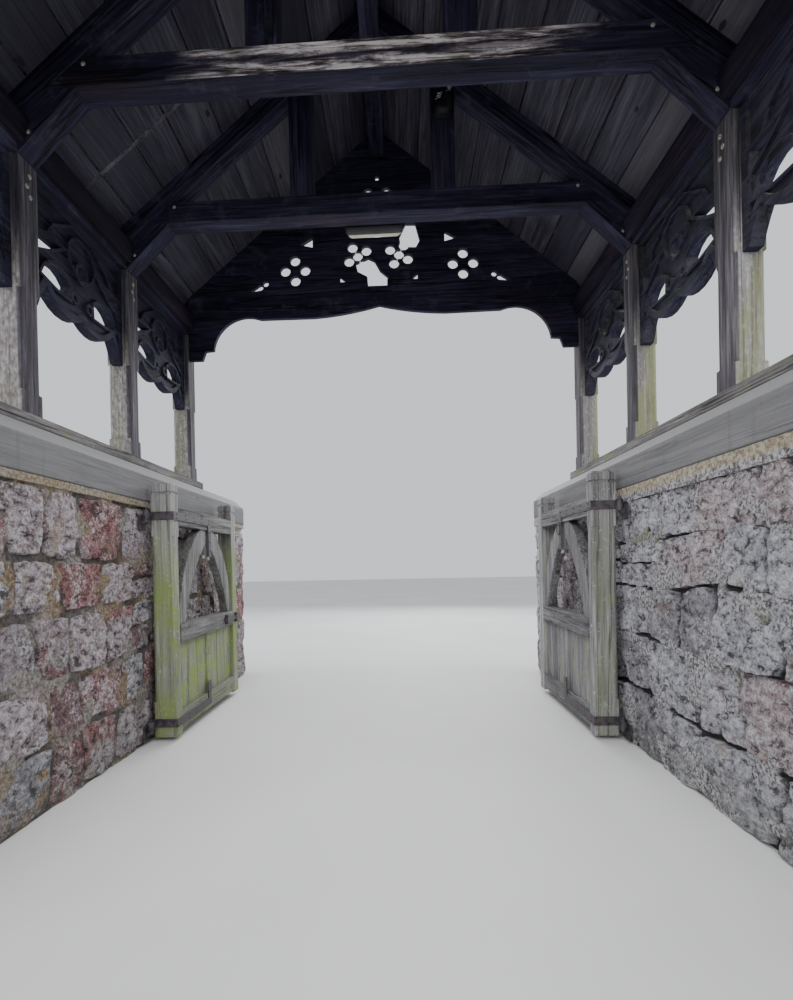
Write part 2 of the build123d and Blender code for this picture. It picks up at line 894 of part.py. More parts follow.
def strap_outline(side, reach):
    """Plan of a strap along the leaf, wrapped round the heel stile to an eye."""
    t = strap_thickness
    front = leaf_heel_y
    back = passage_half - leaf_wall_gap
    arm_x = back - t
    outline = [
        (leaf_face_x, front),
        (leaf_face_x, front + reach),
        (leaf_face_x - t, front + reach),
        (leaf_face_x - t, front - t),
        (arm_x, front - t),
        (arm_x, pin_y),
        (back, pin_y),
        (back, front),
    ]
    with BuildSketch() as plan:
        with BuildLine():
            Polyline(*fold(outline, side), close=True)
        make_face()
        with Locations((side * pin_x, pin_y)):
            RegularPolygon(pin_radius + pin_clearance + eye_wall, eye_sides)
            Circle(pin_radius + pin_clearance, mode=Mode.SUBTRACT)
    return plan.sketch


def strap_heights():
    """Lower edges of the two straps of a leaf."""
    inset = (rail_height - strap_height) / 2
    return (bottom_rail_z + inset, top_rail_z + inset)


def leaf_ironwork(name, side):
    """Strap hinges of a leaf with their turned ends, and the left one's latch."""
    plans = [
        strap_outline(side, strap_reach_bottom),
        strap_outline(side, strap_reach_top),
    ]
    toe_bottom, top_strap_z = strap_heights()
    toe_y = leaf_heel_y + strap_reach_bottom - strap_toe_width / 2
    drop_y = leaf_heel_y + strap_reach_top - strap_drop_width / 2
    drop_top = top_strap_z + strap_height
    with BuildPart() as irons:
        for plan, bottom_z in zip(plans, strap_heights()):
            with BuildSketch(Plane.XY.offset(bottom_z)):
                add(plan)
            extrude(amount=strap_height)
        with BuildSketch(side_plane(side * leaf_face_x)):
            with Locations((toe_y, (toe_bottom + strap_toe_top) / 2)):
                Rectangle(strap_toe_width, strap_toe_top - toe_bottom)
            with Locations((drop_y, (strap_drop_bottom + drop_top) / 2)):
                Rectangle(strap_drop_width, drop_top - strap_drop_bottom)
        extrude(amount=-side * strap_thickness)
        if name == "left":
            add(latch_bar(side))
    keep(irons, f"gate_{name}_ironwork")


def latch_bar(side):
    """Flat latch bar across the head stile, held by two staples."""
    latch_z = middle_rail_z + rail_height / 2
    end_y = leaf_outer_y + head_width + latch_projection
    staples = [
        (end_y - latch_projection - head_width / 2, latch_z),
        (end_y - latch_length + latch_staple, latch_z),
    ]
    with BuildPart() as latch:
        with BuildSketch(side_plane(side * leaf_face_x)):
            with Locations((end_y - latch_length / 2, latch_z)):
                Rectangle(latch_length, latch_height)
        extrude(amount=-side * 2 * strap_thickness)
        with BuildSketch(side_plane(side * leaf_face_x)):
            with Locations(*staples):
                Rectangle(latch_staple, 2 * latch_height)
        extrude(amount=-side * 3 * strap_thickness)
    return latch.part


def make_pintles():
    """Hooks in the walls that carry the four strap eyes."""
    with BuildPart() as pintles:
        for side in sides.values():
            for eye_z in strap_heights():
                shoulder_z = eye_z - pin_clearance - shoulder_height
                pin_top_z = eye_z + strap_height + shoulder_height
                with BuildSketch(Plane.XY.offset(shoulder_z)):
                    with Locations((side * pin_x, pin_y)):
                        RegularPolygon(shoulder_radius, eye_sides)
                extrude(amount=shoulder_height)
                with BuildSketch(Plane.XY.offset(shoulder_z)):
                    with Locations((side * pin_x, pin_y)):
                        Circle(pin_radius)
                extrude(amount=pin_top_z - shoulder_z)
                plate_face = passage_half - pintle_plate_thickness
                shank_z = shoulder_z - (shank_size - shoulder_height) / 2
                with BuildSketch(side_plane(side * plate_face)):
                    with Locations((pin_y, shank_z)):
                        Rectangle(pintle_plate, 1.2 * pintle_plate)
                extrude(amount=side * pintle_plate_thickness)
                with BuildSketch(side_plane(side * pin_x)):
                    with Locations((pin_y, shank_z)):
                        Rectangle(shank_size, shank_size)
                extrude(amount=side * (passage_half - pin_x))
    keep(pintles, "gate_pintles")


def make_leaf(name, side):
    """All the pieces of one gate leaf."""
    heel_section = (heel_width, heel_thickness)
    head_section = (head_width, head_thickness)
    leaf_stile(name, side, "heel", leaf_heel_y, heel_section, heel_bottom, heel_top)
    leaf_stile(name, side, "head", leaf_outer_y, head_section, head_bottom, head_top)
    leaf_rails(name, side)
    leaf_braces(name, side)
    leaf_panel(name, side)
    leaf_ironwork(name, side)


for side_name, side_sign in sides.items():
    make_wall(side_name, side_sign)
    make_sill(side_name, side_sign)
    make_sole_plate(side_name, side_sign)
    for post_index in range(frame_count):
        make_post(side_name, side_sign, post_index)
    for bay_index in range(frame_count - 1):
        make_tracery(side_name, side_sign, bay_index)
    make_wall_plate(side_name, side_sign)
    make_cornice(side_name, side_sign)
    make_sarking(side_name, side_sign)
    make_tiles(side_name, side_sign)
    make_leaf(side_name, side_sign)

for rafter_index in range(frame_count):
    make_rafters(rafter_index)
for truss_index in range(1, frame_count - 1):
    make_collar(truss_index)
    make_queen_struts(truss_index)
    make_knee_braces(truss_index)

make_ridge_beam()
make_ridge_tiles()
make_gable_board("front", 0)
make_gable_board("back", frame_count - 1)
make_bargeboards("front", -1)
make_bargeboards("back", 1)
make_bulkhead_lamp()
make_spot_lamp()
make_pintles()
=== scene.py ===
import random
from math import ceil, cos, pi, radians, sin

import bmesh
import bpy
from mathutils import Matrix, Vector, noise


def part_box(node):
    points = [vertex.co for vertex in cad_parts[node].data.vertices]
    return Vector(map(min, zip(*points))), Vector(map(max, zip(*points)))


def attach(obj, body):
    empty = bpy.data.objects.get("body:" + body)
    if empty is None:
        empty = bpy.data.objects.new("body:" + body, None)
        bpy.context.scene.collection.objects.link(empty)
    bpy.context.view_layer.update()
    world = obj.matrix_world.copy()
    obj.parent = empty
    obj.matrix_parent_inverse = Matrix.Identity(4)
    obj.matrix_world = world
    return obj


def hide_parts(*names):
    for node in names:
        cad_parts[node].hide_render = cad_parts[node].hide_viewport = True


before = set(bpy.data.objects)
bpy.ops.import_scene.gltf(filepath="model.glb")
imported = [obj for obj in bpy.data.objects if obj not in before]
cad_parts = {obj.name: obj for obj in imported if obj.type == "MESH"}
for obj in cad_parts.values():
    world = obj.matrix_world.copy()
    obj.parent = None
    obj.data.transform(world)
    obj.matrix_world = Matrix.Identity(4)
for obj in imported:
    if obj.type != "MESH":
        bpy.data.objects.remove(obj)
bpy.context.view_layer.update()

SIDES = {"left": -1, "right": 1}
ROOT = "gateway"
LEAF = {"left": "left_leaf", "right": "right_leaf"}

# Roof, in metres, read from the frame where it can be
ROOF_PITCH = radians(39.6)
EAVES_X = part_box("sarking_right")[1].x
SARKING_THICKNESS = 0.020
ROOF_HALF_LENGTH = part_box("tiles_right")[1].y
TILE_GAUGE = 0.100
TILE_TOP = 0.045
TILE_LIFT = 0.015
TILE_THICKNESS = 0.013
TILE_TILT = TILE_LIFT / TILE_GAUGE
TILE_LENGTH = 0.165
TILE_CAMBER = 0.002
TILES_PER_COURSE = 17.5
TILE_BATTEN_WIDTH, TILE_BATTEN_THICKNESS = 0.030, 0.019
VERGE_WIDTH = 0.055
RIDGE_TILES = 9
RIDGE_THICKNESS = 0.0145

# Timber frame
POST_HALF = 0.057
FRAME_Y = [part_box(f"post_left_{index}")[0].y + POST_HALF for index in range(1, 5)]
COLLAR_Z = (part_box("collar_2")[0].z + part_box("collar_2")[1].z) / 2

# Photograph, in pixels, and the camera solved from it
PHOTO_WIDTH, PHOTO_HEIGHT = 793, 1000
FOCAL_LENGTH = 560.0
CENTRE_ACROSS, CENTRE_DOWN = 371.863, 568.175
SENSOR = 36.0
CAMERA_PLACE = (0.108, -2.4775, 0.879)
CAMERA_YAW, CAMERA_PITCH, CAMERA_ROLL = -0.052, -0.007, -0.02

# Marks of the colour ramps that spread a fine mottle
MOTTLE = (0.42, 0.50, 0.58)


def smooth(low, high, value):
    """Smooth step from 0 at low to 1 at high."""
    t = min(1.0, max(0.0, (value - low) / (high - low)))
    return t * t * (3 - 2 * t)


class Shade:
    """Short calls for building one procedural material."""

    def __init__(self, name, roughness=0.85, metallic=0.0, sheen=0.5):
        self.material = bpy.data.materials.new(name)
        self.material.use_nodes = True
        self.nodes = self.material.node_tree.nodes
        self.links = self.material.node_tree.links
        self.surface = self.nodes["Principled BSDF"]
        self.surface.inputs["Roughness"].default_value = roughness
        self.surface.inputs["Metallic"].default_value = metallic
        self.surface.inputs["Specular IOR Level"].default_value = sheen

    def feed(self, socket, value):
        """Link a socket, or set it to a plain value."""
        if isinstance(value, bpy.types.NodeSocket):
            self.links.new(value, socket)
        else:
            socket.default_value = value

    def make(self, kind, inputs, output=0, **settings):
        """Add a node, set it up and give back one of its outputs."""
        node = self.nodes.new(kind)
        for key, value in settings.items():
            setattr(node, key, value)
        for key, value in inputs.items():
            self.feed(node.inputs[key], value)
        return node.outputs[output]

    def place(self, order="XYZ", scale=(1, 1, 1), pitch=0.0):
        """Place on the piece, axes reordered so that the grain comes first, then scaled.
        Pieces made of many parts have a tone for each, which shifts the pattern."""
        axes = self.coordinates("Object")
        if pitch:
            lifted = self.make("ShaderNodeCombineXYZ", {**axes, "X": self.math("ABSOLUTE", axes["X"])})
            inputs = {"Vector": lifted, "Angle": -pitch}
            axes = self.split(self.make("ShaderNodeVectorRotate", inputs, rotation_type="Y_AXIS"))
        joined = self.make("ShaderNodeCombineXYZ", dict(zip("XYZ", (axes[key] for key in order))))
        tone = self.attribute("tone")
        apart = [self.times(tone, reach) for reach in (7.3, 17.9, 11.1)]
        shift = self.make("ShaderNodeCombineXYZ", dict(zip("XYZ", apart)))
        inputs = {"Vector": joined, "Scale": scale, "Location": shift}
        return self.make("ShaderNodeMapping", inputs)

    def split(self, vector):
        """The three coordinates of a vector."""
        node = self.nodes.new("ShaderNodeSeparateXYZ")
        self.links.new(vector, node.inputs[0])
        return {key: node.outputs[key] for key in "XYZ"}

    def coordinates(self, kind):
        return self.split(self.make("ShaderNodeTexCoord", {}, output=kind))

    def axis(self, key):
        """One coordinate of the place on the piece."""
        return self.coordinates("Object")[key]

    def facing(self, key):
        """One coordinate of the direction that the surface faces."""
        return self.coordinates("Normal")[key]

    def noise(self, vector, scale, detail=5.0, rough=0.55, distortion=0.0):
        inputs = {"Vector": vector, "Scale": scale, "Detail": detail}
        inputs.update({"Roughness": rough, "Distortion": distortion})
        return self.make("ShaderNodeTexNoise", inputs)

    def blotches(self, scale, detail=5.0, rough=0.55, distortion=0.0):
        """Noise with no direction of its own."""
        return self.noise(self.place(), scale, detail, rough, distortion)

    def cells(self, vector, scale, output="Distance", randomness=1.0):
        inputs = {"Vector": vector, "Scale": scale, "Randomness": randomness}
        return self.make("ShaderNodeTexVoronoi", inputs, output=output)

    def math(self, operation, first, second=0.5, clamp=False):
        node = self.nodes.new("ShaderNodeMath")
        node.operation = operation
        node.use_clamp = clamp
        self.feed(node.inputs[0], first)
        self.feed(node.inputs[1], second)
        return node.outputs[0]

    def times(self, first, second):
        return self.math("MULTIPLY", first, second)

    def plus(self, first, second, clamp=False):
        return self.math("ADD", first, second, clamp)

    def span(self, value, low, high, start=0.0, stop=1.0):
        """Value rescaled from low..high to start..stop, held at both ends."""
        inputs = {"Value": value, "From Min": low, "From Max": high, "To Min": start, "To Max": stop}
        return self.make("ShaderNodeMapRange", inputs, interpolation_type="SMOOTHSTEP")

    def ramp(self, value, marks, *colours):
        """Colour ramp with one colour at each mark."""
        node = self.nodes.new("ShaderNodeValToRGB")
        self.links.new(value, node.inputs[0])
        elements = node.color_ramp.elements
        while len(elements) < len(marks):
            elements.new(0.5)
        for element, mark, colour in zip(elements, marks, colours):
            element.position = mark
            element.color = (*colour, 1.0)
        return node.outputs[0]

    def mix(self, amount, first, second, blend="MIX"):
        """Blend of two colours."""
        node = self.nodes.new("ShaderNodeMix")
        node.data_type = "RGBA"
        node.blend_type = blend
        self.feed(node.inputs[0], amount)
        for index, value in ((6, first), (7, second)):
            if isinstance(value, tuple):
                value = (*value, 1.0)
            self.feed(node.inputs[index], value)
        return node.outputs[2]

    def tint(self, colour, other, value, low, high, start=0.0, stop=1.0):
        """Blend another colour in, from start to stop as a value goes from low to high."""
        return self.mix(self.span(value, low, high, start, stop), colour, other)

    def attribute(self, name):
        node = self.nodes.new("ShaderNodeAttribute")
        node.attribute_name = name
        return node.outputs["Fac"]

    def finish(self, colour, height=None, strength=0.5, distance=0.004, roughness=None):
        """Connect colour, bump and roughness, and give back the material."""
        self.feed(self.surface.inputs["Base Color"], colour)
        if roughness is not None:
            self.feed(self.surface.inputs["Roughness"], roughness)
        if height is not None:
            inputs = {"Strength": strength, "Distance": distance, "Height": height}
            self.links.new(self.make("ShaderNodeBump", inputs), self.surface.inputs["Normal"])
        return self.material


def oak_base(shade, order, tones, pitch=0.0, coarse=1.0, checks=0.9, stains=0.6):
    """Colour and height of weathered oak: fibres, drying cracks, knots and stained patches."""
    dark, middle, light = tones
    fibre_place = shade.place(order, (2.2, 46.0 * coarse, 46.0 * coarse), pitch)
    band_place = shade.place(order, (0.8, 11.0 * coarse, 11.0 * coarse), pitch)
    crack_place = shade.place(order, (0.6, 15.0 * coarse, 15.0 * coarse), pitch)
    knots = shade.cells(shade.place(order, (1.7, 4.6, 4.6), pitch), 1.0)
    knot = shade.span(knots, 0.115, 0.03)
    fibres = shade.noise(fibre_place, 1.7, 9.0, 0.72, 0.3)
    bands = shade.noise(band_place, 1.0, 5.0, 0.62, 0.7)
    stain = shade.noise(shade.place(order, (0.9, 2.6, 2.6), pitch), 1.5, 6.0, 0.62, 0.5)
    cracks = shade.noise(crack_place, 1.0, 3.0, 0.45, 0.12)
    off_middle = shade.math("ABSOLUTE", shade.math("SUBTRACT", cracks, 0.5))
    checked = shade.span(stain, 0.40, 0.55, 0.25, 1.0)
    crack = shade.times(shade.span(off_middle, 0.022, 0.004), checked)
    blend = shade.plus(shade.times(fibres, 0.6), shade.times(bands, 0.4))
    colour = shade.ramp(blend, (0.38, 0.5, 0.62), dark, middle, light)
    colour = shade.tint(colour, dark, stain, 0.50, 0.68, 0.0, stains)
    colour = shade.mix(shade.times(knot, 0.85), colour, tuple(0.4 * v for v in dark))
    colour = shade.mix(shade.times(crack, checks), colour, tuple(0.22 * v for v in dark))
    height = shade.math("SUBTRACT", blend, shade.times(crack, 1.2 * checks))
    return colour, height


def grow(shade, colour, growth, mask, scale, low, high, reach=0.85):
    """Paint a growth of algae or lichen over a colour, where a mask allows it."""
    patches = shade.blotches(scale, 7.0, 0.66, 0.3)
    amount = shade.times(shade.span(patches, low, high), mask)
    return shade.mix(shade.times(amount, reach), colour, growth)


def lichen_spots(shade, colour, spot_colour, scale=26.0, size=0.24, cover=0.6):
    """Small round pale lichens scattered in groups."""
    near = shade.cells(shade.place(), scale)
    ragged = shade.plus(near, shade.times(shade.blotches(120.0), 0.25))
    groups = shade.span(shade.blotches(3.2, 4.0), 0.5, 0.66)
    spots = shade.times(shade.span(ragged, size + 0.08, size), groups)
    return shade.mix(shade.times(spots, cover), colour, spot_colour)


def sill_oak():
    """Newer oak of the sill beams: even silver-grey, finely grained, bleached on the bevel."""
    shade = Shade("sill_oak", 0.8)
    tones = ((0.095, 0.094, 0.098), (0.130, 0.129, 0.134), (0.172, 0.170, 0.177))
    colour, height = oak_base(shade, "YXZ", tones, coarse=2.3, checks=0.35, stains=0.10)
    shade_patch = shade.noise(shade.place("YXZ", (1.3, 3.0, 3.0)), 1.0, 6.0, 0.6)
    colour = shade.tint(colour, (0.082, 0.079, 0.085), shade_patch, 0.50, 0.66, 0.0, 0.35)
    drips = shade.noise(shade.place("YXZ", (22.0, 8.0, 1.2)), 1.0, 5.0, 0.6)
    colour = shade.tint(colour, (0.090, 0.087, 0.084), drips, 0.56, 0.68, 0.0, 0.30)
    up = shade.span(shade.facing("Z"), 0.2, 0.8)
    colour = shade.mix(shade.times(up, 0.6), colour, (0.30, 0.30, 0.304))
    speck = shade.blotches(95.0, 5.0, 0.7)
    colour = shade.tint(colour, (0.062, 0.061, 0.066), speck, 0.57, 0.66, 0.0, 0.4)
    return shade.finish(colour, height, 0.55, 0.004)


def sole_oak():
    """Old dark plate under the posts, with patches of algae and small pale lichens."""
    shade = Shade("sole_oak", 0.88)
    tones = ((0.035, 0.031, 0.033), (0.13, 0.122, 0.12), (0.30, 0.285, 0.275))
    colour, height = oak_base(shade, "YXZ", tones, coarse=1.2)
    colour = grow(shade, colour, (0.16, 0.18, 0.06), 1.0, 7.0, 0.54, 0.7, 0.6)
    colour = lichen_spots(shade, colour, (0.42, 0.42, 0.37))
    return shade.finish(colour, height, 0.8, 0.008)


def post_oak():
    """Oak posts: speckled with lichen where the weather reaches, with painted shade on the passage side and
    at the top.
    """
    shade = Shade("post_oak", 0.86)
    tones = ((0.15, 0.138, 0.138), (0.28, 0.268, 0.265), (0.42, 0.41, 0.405))
    colour, height = oak_base(shade, "ZXY", tones, coarse=1.3, checks=0.6, stains=0.3)
    speckle = shade.noise(shade.place("ZXY", (42.0, 75.0, 75.0)), 1.0, 6.0, 0.68)
    left = shade.span(shade.axis("X"), 0.3, -0.3)
    brown = shade.times(shade.span(speckle, 0.49, 0.60), shade.span(left, 0.0, 1.0, 0.35, 0.85))
    colour = shade.mix(brown, colour, (0.150, 0.112, 0.112))
    colour = shade.tint(colour, (0.50, 0.50, 0.48), speckle, 0.45, 0.36, 0.0, 0.55)
    green = shade.noise(shade.place("ZXY", (1.6, 9.0, 9.0)), 1.0, 6.0, 0.6)
    algae = shade.times(shade.span(green, 0.42, 0.62), shade.span(left, 0.0, 1.0, 0.75, 0.30))
    colour = shade.mix(algae, colour, (0.235, 0.25, 0.105))
    # Painted shade: faces towards the passage and the tops of the posts take a dark streaked colour.
    inward = shade.times(shade.facing("X"), shade.axis("X"))
    painted_passage_shade = shade.span(inward, -0.35, -1.05)
    ragged = shade.times(shade.noise(shade.place("ZXY", (2.0, 16.0, 16.0)), 1.5, 6.0), 0.35)
    top = shade.span(shade.plus(shade.axis("Z"), ragged), 2.12, 2.36)
    shadow = shade.math("MAXIMUM", painted_passage_shade, top)
    streaks = shade.noise(shade.place("ZXY", (1.5, 30.0, 30.0)), 1.5, 8.0, 0.7)
    tones = ((0.016, 0.013, 0.024), (0.060, 0.052, 0.070), (0.17, 0.155, 0.17))
    dark = shade.ramp(streaks, (0.40, 0.52, 0.64), *tones)
    colour = shade.mix(shade.times(shadow, 0.94), colour, dark)
    return shade.finish(colour, height, 0.8, 0.007)


def dark_oak(name, order, pitch=0.0, bleach=None, crest=0.0):
    """Old oak of the roof frame: nearly black within and tinted blue as painted shade, weathered grey where
    it faces out.
    """
    shade = Shade(name, 0.82, sheen=0.3)
    # The blue in these tones and in the dust colour below is painted shade, the blue cast of sky-lit
    # shadow.
    tones = ((0.0050, 0.0046, 0.015), (0.017, 0.0155, 0.040), (0.056, 0.053, 0.098))
    colour, height = oak_base(shade, order, tones, pitch)
    red = shade.noise(shade.place(order, (1.0, 5.0, 5.0), pitch), 1.2, 4.0)
    colour = shade.tint(colour, (0.050, 0.022, 0.026), red, 0.58, 0.74, 0.0, 0.40)
    dust = shade.span(shade.blotches(8.0, 8.0, 0.7), 0.54, 0.68, 0.0, 0.40)
    colour = shade.mix(dust, colour, (0.072, 0.070, 0.115))
    if crest:
        # On the right side, upward faces take pale green growth and a painted highlight, and faces towards
        # -Y are lightened as painted light.
        weathered = shade.span(shade.axis("X"), 0.0, 0.6, 0.12, crest)
        up = shade.times(shade.span(shade.facing("Z"), -0.15, 0.55), weathered)
        patchy = shade.span(shade.blotches(16.0, 6.0, 0.65), 0.38, 0.58, 0.35, 1.0)
        colour = shade.mix(shade.times(up, patchy), colour, (0.27, 0.28, 0.20))
        near = shade.times(shade.span(shade.facing("Y"), -0.5, -0.95, 0.0, 0.3), weathered)
        colour = shade.mix(near, colour, (0.10, 0.10, 0.085))
    if bleach:
        low, high = bleach
        wander = shade.times(shade.blotches(5.0, 6.0), 0.5)
        along = shade.plus(shade.axis("X"), wander)
        ends = shade.times(shade.span(along, low, low + 0.25), shade.span(along, high, high - 0.35))
        front = shade.times(ends, shade.span(shade.facing("Y"), -0.3, -0.8))
        silver = shade.noise(shade.place(order, (2.4, 24.0, 24.0), pitch), 1.5, 9.0, 0.72, 0.3)
        tones = ((0.018, 0.012, 0.016), (0.20, 0.165, 0.17), (0.80, 0.73, 0.74))
        pale = shade.ramp(silver, (0.42, 0.49, 0.56), *tones)
        edges = shade.math("ABSOLUTE", shade.math("SUBTRACT", shade.axis("Z"), COLLAR_Z))
        worn = shade.plus(shade.times(edges, 9.0), shade.blotches(14.0, 7.0, 0.7))
        front = shade.times(front, shade.span(worn, 0.50, 0.76, 0.35, 1.0))
        colour = shade.mix(front, colour, pale)
        moss = shade.times(front, shade.span(shade.blotches(7.0, 6.0), 0.54, 0.64))
        colour = shade.mix(shade.times(moss, 0.2), colour, (0.13, 0.15, 0.06))
    along_out = shade.times(shade.facing("Y"), shade.axis("Y"))
    across_out = shade.times(shade.facing("X"), shade.axis("X"))
    outside = shade.math("MAXIMUM", shade.span(along_out, 0.95, 1.15), shade.span(across_out, 1.15, 1.32))
    bare = shade.noise(shade.place(order, (1.6, 20.0, 20.0), pitch), 1.4, 8.0, 0.7)
    tones = ((0.040, 0.034, 0.032), (0.120, 0.108, 0.100), (0.25, 0.24, 0.225))
    worn = shade.ramp(bare, (0.40, 0.50, 0.60), *tones)
    colour = shade.mix(shade.times(outside, 0.92), colour, worn)
    return shade.finish(colour, height, 0.7, 0.008)


def red_oak():
    """Reddish strips along the wall plates."""
    shade = Shade("cornice_oak", 0.8, sheen=0.2)
    tones = ((0.0030, 0.0018, 0.0065), (0.012, 0.0075, 0.019), (0.038, 0.024, 0.040))
    colour, height = oak_base(shade, "YXZ", tones)
    return shade.finish(colour, height, 0.6, 0.006)


def board_oak():
    """Rough sawn roof boards, each with its own tone, with knots and saw marks."""
    shade = Shade("roof_boards", 0.9)
    # The blue in these tones and in the dark tints below is painted shade, the blue cast of sky-lit shadow.
    tones = ((0.022, 0.020, 0.034), (0.060, 0.056, 0.080), (0.130, 0.123, 0.158))
    colour, height = oak_base(shade, "YXZ", tones, coarse=1.2, checks=0.5, stains=0.45)
    tone = shade.attribute("tone")
    colour = shade.tint(colour, (0.019, 0.017, 0.034), tone, 0.0, 0.5, 0.70, 0.0)
    colour = shade.tint(colour, (0.16, 0.145, 0.16), tone, 0.80, 1.0, 0.0, 0.45)
    shadow = shade.noise(shade.place("YXZ", (0.8, 1.6, 1.6)), 1.2, 4.0, 0.5)
    colour = shade.tint(colour, (0.022, 0.020, 0.032), shadow, 0.50, 0.66, 0.0, 0.5)
    saw = shade.noise(shade.place("YXZ", (90.0, 2.0, 2.0)), 1.0, 2.0)
    height = shade.plus(height, shade.times(saw, 0.3))
    knots = shade.cells(shade.place("YXZ", (3.2, 7.0, 7.0)), 1.0)
    colour = shade.tint(colour, (0.008, 0.006, 0.010), knots, 0.085, 0.05, 0.0, 0.9)
    colour = lichen_spots(shade, colour, (0.20, 0.20, 0.21), 60.0, 0.16, 0.4)
    return shade.finish(colour, height, 0.7, 0.005)


def batten_oak():
    """Dark repair batten under the roof boards."""
    shade = Shade("batten_oak", 0.9)
    tones = ((0.030, 0.027, 0.036), (0.080, 0.073, 0.088), (0.17, 0.158, 0.175))
    colour, height = oak_base(shade, "XZY", tones, coarse=1.1)
    return shade.finish(colour, height, 0.7, 0.005)


def gate_oak(name, order, reach=0.95, lime=1.0, pale=1.0):
    """Grey oak of the gate leaves. Algae thicken towards the ground, most on the left leaf.
    Reach is the height where they end, lime is how thick they grow and pale how bleached
    the wood is."""
    shade = Shade(name, 0.84)
    tones = ((0.055, 0.052, 0.060), (0.200, 0.195, 0.207), (0.39, 0.385, 0.398))
    tones = [tuple(pale * part for part in tone) for tone in tones]
    colour, height = oak_base(shade, order, tones, coarse=1.25, checks=0.7, stains=0.5)
    left = shade.span(shade.axis("X"), 0.4, -0.4)
    near = shade.span(shade.facing("Y"), -0.4, -0.85)
    ragged = shade.times(shade.noise(shade.place("ZXY", (2.0, 14.0, 14.0)), 1.2, 5.0), 0.5)
    low = shade.span(shade.plus(shade.axis("Z"), ragged), reach + 0.55, reach - 0.15)
    spread = shade.plus(shade.times(left, 0.6), shade.times(near, 0.45), True)
    film = shade.times(spread, lime)
    wash = shade.times(shade.plus(low, 0.22, True), film)
    colour = grow(shade, colour, (0.205, 0.230, 0.118), wash, 3.2, 0.34, 0.58, 0.85)
    lush = shade.times(shade.times(low, left), lime)
    colour = grow(shade, colour, (0.185, 0.250, 0.058), lush, 8.0, 0.42, 0.62, 0.9)
    mild = shade.times(low, 0.35 * lime)
    colour = grow(shade, colour, (0.26, 0.29, 0.10), mild, 5.0, 0.52, 0.64, 0.9)
    colour = grow(shade, colour, (0.50, 0.51, 0.50), 1.0, 62.0, 0.58, 0.68, 0.4)
    return shade.finish(colour, height, 0.75, 0.006)


def iron():
    """Black iron, pitted and rusting."""
    shade = Shade("wrought_iron", 0.62, 0.55)
    blotch = shade.blotches(34.0, 7.0, 0.65)
    tones = ((0.035, 0.032, 0.038), (0.095, 0.085, 0.095), (0.17, 0.075, 0.045))
    colour = shade.ramp(blotch, (0.40, 0.56, 0.68), *tones)
    pits = shade.blotches(160.0, 4.0, 0.6)
    rough = shade.span(blotch, 0.4, 0.7, 0.5, 0.85)
    return shade.finish(colour, pits, 0.55, 0.002, rough)


def stone():
    """Weathered rubble: each stone has its tone, from grey to red-brown, with pale lichen on its
    ridges, painted shade in its hollows, and dirt and painted shade at its sunken rims."""
    shade = Shade("rubble_stone", 0.93)
    tone = shade.attribute("tone")
    coarse = shade.blotches(7.0, 7.0, 0.65, 0.3)
    relief = shade.noise(shade.place(scale=(1.0, 1.0, 1.7)), 19.0, 9.0, 0.66, 0.4)
    grit = shade.blotches(70.0, 6.0, 0.72, 0.1)
    fine = shade.blotches(190.0, 5.0, 0.75)
    speckle = shade.plus(shade.times(relief, 0.40), shade.times(grit, 0.34))
    speckle = shade.plus(speckle, shade.times(fine, 0.26))
    grey = shade.ramp(speckle, MOTTLE, (0.055, 0.050, 0.062), (0.37, 0.365, 0.405), (0.70, 0.70, 0.74))
    red = shade.ramp(speckle, MOTTLE, (0.042, 0.013, 0.015), (0.255, 0.096, 0.094), (0.50, 0.345, 0.34))
    brown = shade.ramp(speckle, MOTTLE, (0.055, 0.038, 0.046), (0.37, 0.300, 0.320), (0.68, 0.635, 0.66))
    hue = shade.plus(tone, shade.times(shade.math("SUBTRACT", coarse, 0.5), 1.4))
    colour = shade.tint(grey, brown, hue, 0.28, 0.42)
    colour = shade.tint(colour, red, hue, 0.66, 0.80)
    own = shade.math("FRACT", shade.times(tone, 9.7))
    colour = shade.tint(colour, (0.085, 0.078, 0.090), own, 0.35, 0.0, 0.0, 0.45)
    where = shade.span(shade.blotches(8.0, 8.0, 0.74), 0.47, 0.57)
    crust = shade.span(shade.blotches(68.0, 8.0, 0.80, 0.2), 0.49, 0.55)
    crusted = shade.times(where, crust)
    colour = shade.mix(shade.times(crusted, 0.72), colour, (0.76, 0.76, 0.80))
    # Painted shade: the hollows of the relief are painted nearly black.
    painted_hollow_shade = shade.span(relief, 0.45, 0.36, 0.0, 0.85)
    colour = shade.mix(painted_hollow_shade, colour, (0.030, 0.025, 0.032))
    ochre = shade.span(shade.blotches(5.0, 6.0), 0.60, 0.70, 0.0, 0.4)
    colour = shade.mix(ochre, colour, (0.32, 0.22, 0.12))
    damp = shade.span(shade.axis("Z"), 0.30, 0.0, 0.0, 0.35)
    colour = shade.mix(damp, colour, (0.12, 0.12, 0.09))
    # Dirt and painted shade: the rims of a stone, where they sink towards the mortar, are painted dark.
    sunk_dirt_and_shade = shade.span(shade.attribute("sink"), 0.012, 0.028, 0.0, 0.93)
    colour = shade.mix(sunk_dirt_and_shade, colour, (0.020, 0.017, 0.022))
    height = shade.plus(shade.times(relief, 2.2), shade.times(grit, 0.7))
    height = shade.plus(height, shade.times(fine, 0.3))
    return shade.finish(colour, height, 1.0, 0.022)


